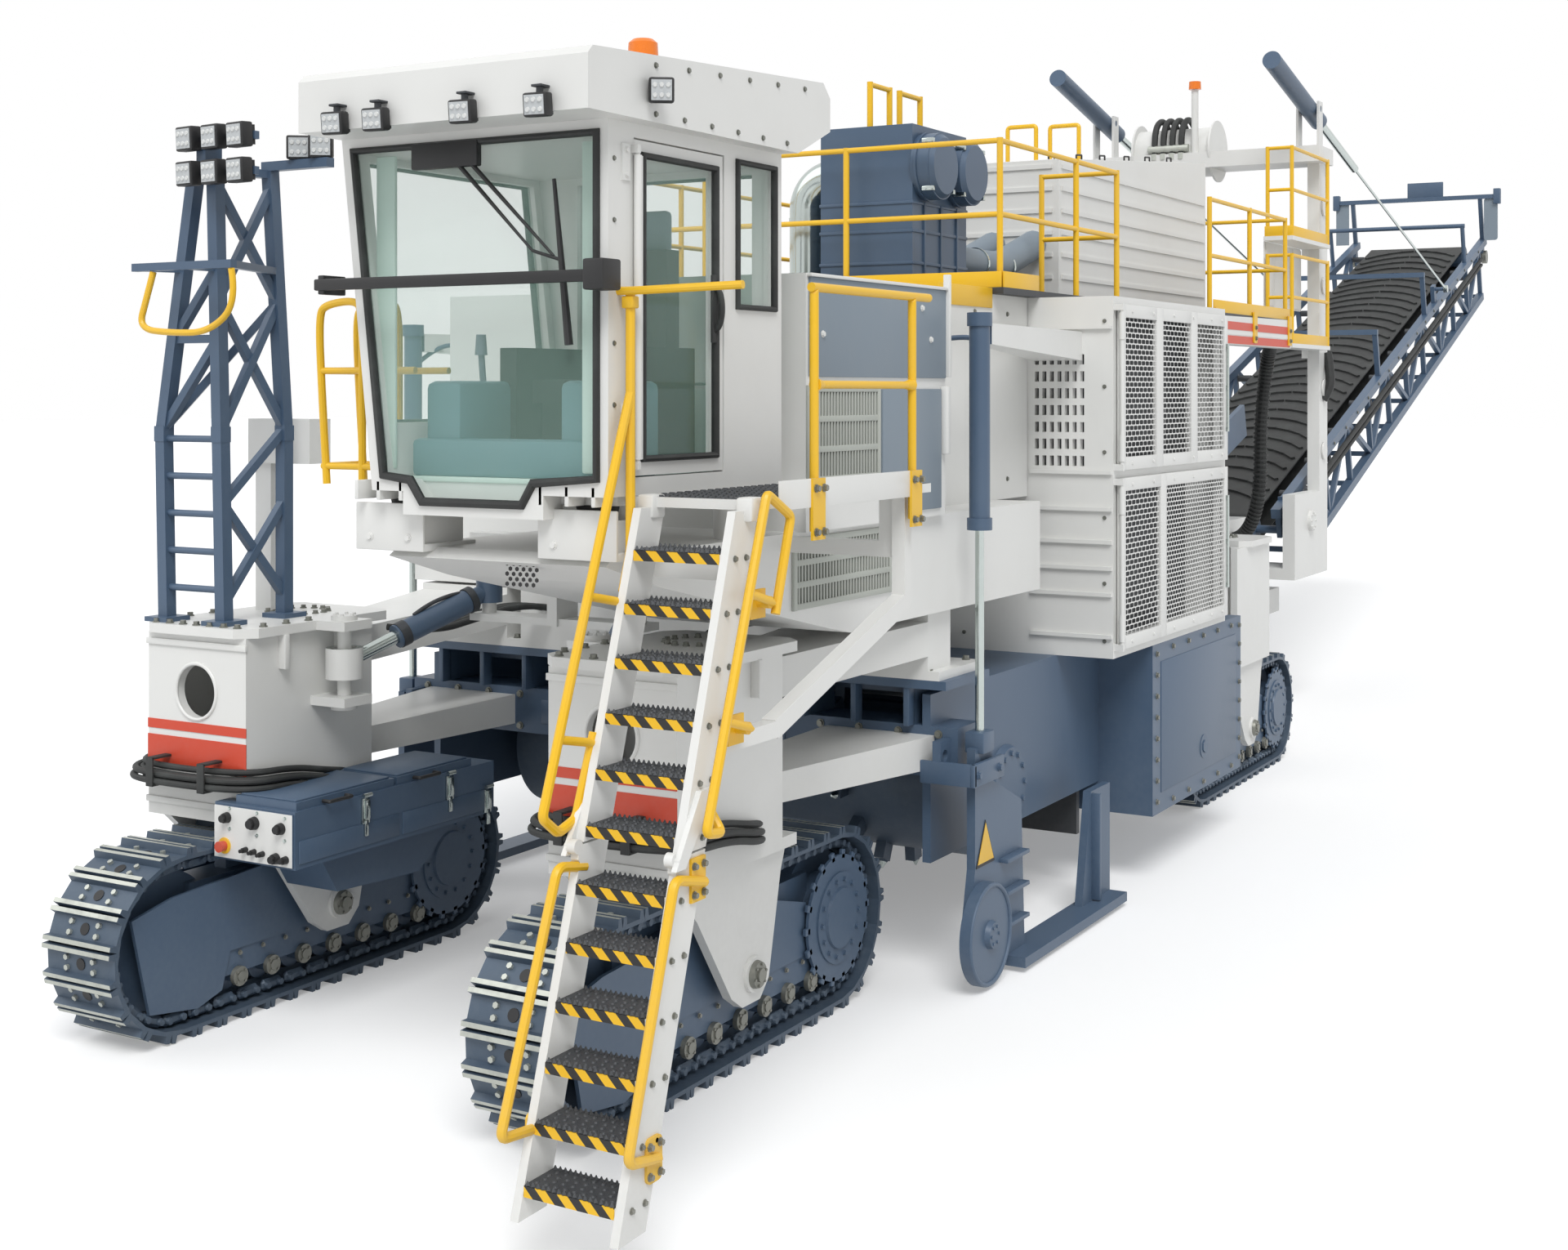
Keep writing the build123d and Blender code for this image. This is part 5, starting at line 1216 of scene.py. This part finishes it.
makePiece("hoodHoops", hoops, "yellow")
pipes, clips = bmesh.new(), bmesh.new()
pipeZ = 5.05
for x in (0.55, 0.95):
    bends = ((x, 1.48, pipeZ), (x, 2.6, pipeZ), (x, 3.42, pipeZ + 0.25))
    addTube(pipes, softened(bends, 0.3), 0.13, sides=6)
    for y in (1.54, 2.1, 2.66):
        addRod(clips, (x, y, pipeZ), (x, y + 0.03, pipeZ), 0.138, 28)
makePiece("airPipes", pipes, "greyPanel")
makePiece("pipeClips", clips, "chrome")
print("housings and deck done")

# discharge conveyor: belt cleats, rollers, fixings, and the board, hoop, lamp boxes and flaps at the tip
conveyor = {"pivot": (11.2, 2.35), "angle": 17.2, "top": 0.20, "hoop": 12.1, "bar": (13.9, 1.11)}
slope = math.radians(conveyor["angle"])


def onBoom(x, along, above):
    y = conveyor["pivot"][0] + along * math.cos(slope) - above * math.sin(slope)
    z = conveyor["pivot"][1] + along * math.sin(slope) + above * math.cos(slope)
    return Vector((x, y, z))


cleats = bmesh.new()
cleat = {
    "span": (0.2, 13.4),
    "pitch": 0.42,
    "thick": 0.055,
    "tall": 0.034,
    "arm": ((0.02, 0.34), (0.22, 0.30), (0.44, 0.19), (0.63, 0.04), (0.78, -0.14)),  # x, along
}
along = cleat["span"][0]
while along < cleat["span"][1]:
    for side in (1, -1):
        for (nearX, nearUp), (farX, farUp) in zip(cleat["arm"], cleat["arm"][1:]):
            start = onBoom(side * nearX, along + nearUp, conveyor["top"] + 0.012)
            end = onBoom(side * farX, along + farUp, conveyor["top"] + 0.012)
            heading = Matrix.Rotation(side * math.atan2(farUp - nearUp, farX - nearX), 4, "Z")
            place = Matrix.Translation((start + end) / 2) @ Matrix.Rotation(slope, 4, "X") @ heading
            addBlock(cleats, place, ((end - start).length + 0.012, cleat["thick"], cleat["tall"]))
    along += cleat["pitch"]
makePiece("beltCleats", cleats, "rubber", "conveyor")
rollers = bmesh.new()
for panel in range(11):
    along = 0.6 + panel * 1.28
    addRod(rollers, onBoom(-0.9, along, -0.28), onBoom(0.9, along, -0.28), 0.055, 16)
    for side in (1, -1):
        addRod(rollers, onBoom(side * 0.9, along, 0.12), onBoom(side * 1.1, along, 0.12), 0.05, 14)
makePiece("beltRollers", rollers, "darkSteel", "conveyor")
skirts = bmesh.new()
for side in (1, -1):
    for panel in range(20):
        along = 0.2 + panel * 0.68
        addBolt(skirts, onBoom(side * 1.211, along, 0.26), (side, 0, 0), 0.018, 0.016)
    addRod(skirts, onBoom(side * 1.15, 13.8, 0), onBoom(side * 1.23, 13.8, 0), 0.12, 24)
    addRod(skirts, onBoom(side * 1.15, 0.0, 0), onBoom(side * 1.22, 0.0, 0), 0.10, 24)
makePiece("conveyorFixings", skirts, "oliveCap", "conveyor")
board = bmesh.new()
place = onBoom(0.18, 13.9, 1.13)
addBox(board, place - Vector((0.32, 0.02, 0.0)), place + Vector((0.32, 0.02, 0.29)), 0.008)
hoop = conveyor["hoop"]
for side in (1, -1):  # hoop nearest the tip, and lamp boxes on the ends of the bar
    addRod(board, onBoom(side * 1.15, hoop, 0.26), onBoom(side * 1.15, hoop, 1.0), 0.036, 14)
    lampBox = onBoom(side * 1.45, *conveyor["bar"])
    addBox(board, lampBox - Vector((0.06, 0.06, 0.14)), lampBox + Vector((0.06, 0.06, 0.14)), 0.012)
addRod(board, onBoom(-1.19, hoop, 0.98), onBoom(1.19, hoop, 0.98), 0.038, 14)
makePiece("conveyorBoard", board, "blue", "conveyor")
flaps = bmesh.new()
for side in (1, -1):
    middle = onBoom(side * 1.34, *conveyor["bar"])
    addRoundPlate(flaps, middle - Vector((0.12, 0.008, 0.80)), middle + Vector((0.12, 0.008, -0.03)), 0.05)
makePiece("conveyorFlaps", flaps, "greyPanel", "conveyor")
cableRun = bmesh.new()
for above, radius in ((0.05, 0.035), (-0.05, 0.028)):
    addTube(cableRun, [onBoom(1.2, along, above) for along in (0.3, 3, 6, 9, 12, 13.4)], radius)
makePiece("conveyorCables", cableRun, "rubber", "conveyor")
print("conveyor done")

# gantry: hoses over the guide, pin covers, framed bare panel, beacon and toe-boards
hoses, fitting, guide = bmesh.new(), bmesh.new(), bmesh.new()
gantry = {
    "hoseX": (-0.66, -0.54, -0.42, -0.30),
    "hoseBends": (  # y, z
        (11.42, 6.9),
        (11.40, 7.1),
        (11.45, 7.42),
        (11.75, 7.56),
        (12.06, 7.40),
        (12.10, 7.0),
        (12.10, 6.6),
    ),
    "hoseEnd": ((1.45, 11.95, 4.45), (1.50, 11.92, 4.2), (1.50, 11.88, 3.98), (1.42, 11.85, 3.86)),
    "beacon": (-0.12, 11.42),
    "floors": (4.53, 5.81),
}
addRod(fitting, (-0.74, 11.405, 7.12), (-0.20, 11.405, 7.12), 0.05, 20)
for x in gantry["hoseX"]:
    addTube(hoses, [(x, *bend) for bend in gantry["hoseBends"]], 0.042)
    addRod(fitting, (x, 11.405, 6.98), (x, 11.405, 7.06), 0.05, 12)
    addRod(fitting, (x, 12.10, 6.52), (x, 12.10, 6.66), 0.052, 12)
addTube(hoses, gantry["hoseEnd"], 0.06)
makePiece("gantryHoses", hoses, "rubber", "gantry")
makePiece("hoseFittings", fitting, "wornSteel", "gantry")
addBox(guide, (-0.74, 12.04, 6.50), (-0.22, 12.056, 7.03), 0.004)  # plate that holds the hoses' rear ends
for x in (-0.95, 0.08):
    addRod(guide, (x - 0.012, 11.75, 7.09), (x + 0.012, 11.75, 7.09), 0.40, 48)
for side in (1, -1):
    for z in (3.2, 4.0, 5.3, 6.3):
        addRod(guide, (side * 1.43, 11.85, z), (side * 1.45, 11.85, z), 0.11, 28)
    addRod(guide, (side * 1.425, *conveyor["pivot"]), (side * 1.47, *conveyor["pivot"]), 0.13, 32)
    addBoltRing(guide, (side * 1.47, *conveyor["pivot"]), (side, 0, 0), 0.1, 8, 0, 0.013, 0.016)
addRod(guide, (*gantry["beacon"], 7.0), (*gantry["beacon"], 7.86), 0.045, 20)
for y in (9.99, 11.2):
    addBox(guide, (1.205, y, 4.99), (1.22, y + 0.36, 5.74), 0.004)
addBox(guide, (1.19, 9.97, 4.97), (1.206, 11.58, 5.76), 0.004)
makePiece("gantryTrim", guide, "white", "gantry")
beacon = bmesh.new()
addRod(beacon, (*gantry["beacon"], 7.87), (*gantry["beacon"], 7.97), 0.08, 24, 0.075)
makePiece("gantryBeacon", beacon, "amber", "gantry")
toe = bmesh.new()
for z in gantry["floors"]:
    addBox(toe, (1.545, 9.92, z), (1.555, 11.64, z + 0.12), 0.002)
    addBox(toe, (1.22, 9.91, z), (1.55, 9.92, z + 0.12), 0.002)
makePiece("gantryToeBoards", toe, "yellow", "gantry")
print("gantry done")

# side plates: disc rims, ribs and blank signs; drum's pick tips; glands, guides and steering collars
plate = {
    "face": 2.55,
    "disc": (-1.19, 0.365),
    "discRadius": 0.325,
    "sign": (-1.12, 0.955),
    "lift": (2.45, -1.14),
    "ribs": (  # y limits, z limits
        ((-0.86, -0.50), (0.326, 0.354)),
        ((-0.88, -0.50), (0.546, 0.574)),
        ((-0.88, -0.50), (0.766, 0.794)),
        ((0.86, 0.90), (0.12, 0.92)),
        ((-0.72, 1.22), (0.055, 0.095)),
    ),
}


def addTriangle(mesh, x, y, z, size, thick):
    points = ((-1, -1), (1, -1), (0, 1))
    mesh.faces.new([mesh.verts.new((x, y + size * across, z + size * up)) for across, up in points])
    made = bmesh.ops.extrude_face_region(mesh, geom=mesh.faces[:])
    raised = [vert for vert in made["geom"] if isinstance(vert, bmesh.types.BMVert)]
    bmesh.ops.translate(mesh, vec=(thick, 0, 0), verts=raised)


for sideName, side in sides:
    body = "side_plate_" + sideName
    rims = bmesh.new()
    face = side * plate["face"]
    y, z = plate["disc"]
    addTube(rims, circlePoints(face, y, z, plate["discRadius"], 32), 0.016, cyclic=True)
    addRod(rims, (face - side * 0.01, y, z), (face + side * 0.035, y, z), 0.10, 32, 0.085)
    addBoltRing(rims, (face + side * 0.03, y, z), (side, 0, 0), 0.06, 6, 0, 0.011, 0.014)
    addSideBox(rims, side, (2.38, 2.52), (-1.23, -1.05), (1.56, 1.70), 0.01)
    for y, z in plate["ribs"]:
        addSideBox(rims, side, (2.478, 2.545), y, z, 0.004)
    makePiece("sidePlateTrim." + sideName, rims, "blue", body)
    paintFaces("side_plate_" + sideName, "chrome", lambda centre, normal: centre.z > 1.62)
    sign, border = bmesh.new(), bmesh.new()
    addTriangle(sign, side * 2.485, *plate["sign"], 0.128, side * 0.003)
    makePiece("blankSign." + sideName, sign, "yellow", body)
    addTriangle(border, side * 2.481, *plate["sign"], 0.150, side * 0.004)
    makePiece("signBorder." + sideName, border, "black", body)
paintFaces(
    "cutting_drum",
    "chrome",
    lambda centre, normal: math.hypot(centre.y, centre.z - drum["z"]) > drum["tipRadius"],
)
glands = bmesh.new()
for side in (1, -1):
    for low, high in ((3.04, 3.12), (4.40, 4.49)):
        ends = [mirrored((*plate["lift"], z), side) for z in (low, high)]
        addRod(glands, *ends, 0.085, 24)
    hose = ((2.45, -1.06, 4.2), (2.4, -0.95, 4.3), (2.2, -0.9, 4.35), (1.92, -0.9, 4.3))
    addTube(glands, [mirrored(bend, side) for bend in hose], 0.018)
makePiece("liftGlands", glands, "blue")
bands = bmesh.new()
for side in (1, -1):
    addSideBox(bands, side, (2.505, 2.54), (-1.42, -0.93), (1.37, 1.52), 0.008)
    addSideBox(bands, side, (2.14, 2.54), (-1.415, -1.385), (1.37, 1.52), 0.006)
    for y in (-1.36, -1.02):
        addBolt(bands, (side * 2.54, y, 1.445), (side, 0, 0), 0.022, 0.022)
makePiece("plateGuides", bands, "blue")
for sideName, side in sides:
    foot = mirrored(steer["foot"], side)
    way = (mirrored(steer["eye"], side) - foot).normalized()
    collar = bmesh.new()
    for start, end, radius in steer["collars"]:
        addRod(collar, foot + way * start, foot + way * end, radius, 28)
    addTube(collar, [foot + way * along + Vector((0, 0, above)) for along, above in steer["hose"]], 0.014)
    makePiece("steerCollar." + sideName, collar, "darkSteel", "steer_barrel_" + sideName)
print("side plates and cylinders done")

# hoses from the frame towards the front legs, and the corrugated hose at the rear
slack = bmesh.new()
bends = (
    (0, -1.36, 2.35),
    (0, -1.7, 2.42),
    (0.05, -2.2, 2.36),
    (0.12, -2.55, 2.30),
    (0.25, -2.78, 2.34),
)
for side in (1, -1):
    for hose in range(3):
        x = side * (0.9 + 0.06 * hose)
        addTube(slack, [mirrored(bend, side) + Vector((x, 0, 0)) for bend in bends], 0.024)
makePiece("frameHoses", slack, "rubber")
bellows = bmesh.new()
knots = (
    ((1.80, 8.16, 4.50), (1.66, 8.46, 4.36)),
    ((1.60, 8.42, 3.30), (1.60, 8.40, 3.75)),
    ((1.20, 8.62, 2.28), (1.50, 8.62, 2.30)),
)
first, middle, last = [(Vector(knot), Vector(handle)) for knot, handle in knots]
path = interpolate_bezier(first[0], first[1], middle[1], middle[0], 30)
path += interpolate_bezier(middle[0], 2 * middle[0] - middle[1], last[1], last[0], 28)[1:]
addTube(bellows, path, 0.066)
for here, ahead in zip(path, path[1:]):
    way = (ahead - here).normalized() * 0.012
    addRod(bellows, here - way, here + way, 0.078, 16)
makePiece("rearBellows", bellows, "rubber")
print("hoses done")

# floor, light and camera
stage = {
    "floorSize": 400.0,
    "floorColor": (0.78, 0.78, 0.78),
    "floorLift": 0.27,
    "backdrop": (1.0, 1.0, 1.0),
    "skyColor": (0.96, 0.98, 1.0),
    "skyStrength": 0.55,
}


def seenRays(tree):
    rays = addNode(tree, "LightPath", {}).outputs
    mask = rays["Is Camera Ray"]
    for other in ("Is Glossy Ray", "Is Transmission Ray"):
        mask = addNode(tree, "Math", {0: mask, 1: rays[other]}, operation="MAXIMUM").outputs["Value"]
    return mask


floorMesh = bmesh.new()
bmesh.ops.create_grid(floorMesh, x_segments=1, y_segments=1, size=stage["floorSize"] / 2)
floorData = bpy.data.meshes.new("floor")
floorMesh.to_mesh(floorData)
floorMesh.free()
floor = bpy.data.objects.new("floor", floorData)
bpy.context.scene.collection.objects.link(floor)
paleFloor = plainFinish("paleFloor", stage["floorColor"], 0.9)
tree = paleFloor.node_tree
sheen = tree.nodes["Principled BSDF"].inputs
sheen["Specular IOR Level"].default_value = 0.1
sheen["Emission Color"].default_value = (1, 1, 1, 1)
tree.links.new(product(tree, seenRays(tree), stage["floorLift"]), sheen["Emission Strength"])
floorData.materials.append(paleFloor)

lamps = {
    # name: travels along, softness in degrees, strength
    "keyLight": ((-0.55, 0.75, -1.1), 28, 2.0),
    "fillLight": ((0.9, 0.6, -0.9), 50, 0.6),
}
for name, (way, softness, strength) in lamps.items():
    data = bpy.data.lights.new(name, "SUN")
    data.angle = math.radians(softness)
    data.energy = strength
    lamp = bpy.data.objects.new(name, data)
    lamp.rotation_euler = Vector(way).to_track_quat("-Z", "Y").to_euler()
    bpy.context.scene.collection.objects.link(lamp)

world = bpy.data.worlds.new("studio")
bpy.context.scene.world = world
world.use_nodes = True
sky = world.node_tree
soft = sky.nodes["Background"]
soft.inputs["Color"].default_value = (*stage["skyColor"], 1)
soft.inputs["Strength"].default_value = stage["skyStrength"]
backdrop = addNode(sky, "Background", {"Color": (*stage["backdrop"], 1)}).outputs["Background"]
choose = addNode(sky, "MixShader", {"Fac": seenRays(sky), 1: soft.outputs["Background"], 2: backdrop})
sky.links.new(choose.outputs["Shader"], sky.nodes["World Output"].inputs["Surface"])

camera = {
    "place": (7.75, -13.0, 3.97),
    "heading": 29.85,
    "sensor": 36,
    "focalPixels": 2370,
    "width": 1920,
    "height": 1530,
    "horizonRow": 478,
}
lens = bpy.data.cameras.new("camera")
lens.sensor_fit = "HORIZONTAL"
lens.sensor_width = camera["sensor"]
lens.lens = camera["sensor"] * camera["focalPixels"] / camera["width"]
lens.shift_y = -(camera["height"] / 2 - camera["horizonRow"]) / camera["width"]
lens.clip_end = 1000
eye = bpy.data.objects.new("camera", lens)
eye.location = camera["place"]
eye.rotation_euler = (math.radians(90), 0, math.radians(camera["heading"]))
bpy.context.scene.collection.objects.link(eye)
bpy.context.scene.camera = eye
bpy.context.scene.view_settings.view_transform = "Standard"
print("stage set")
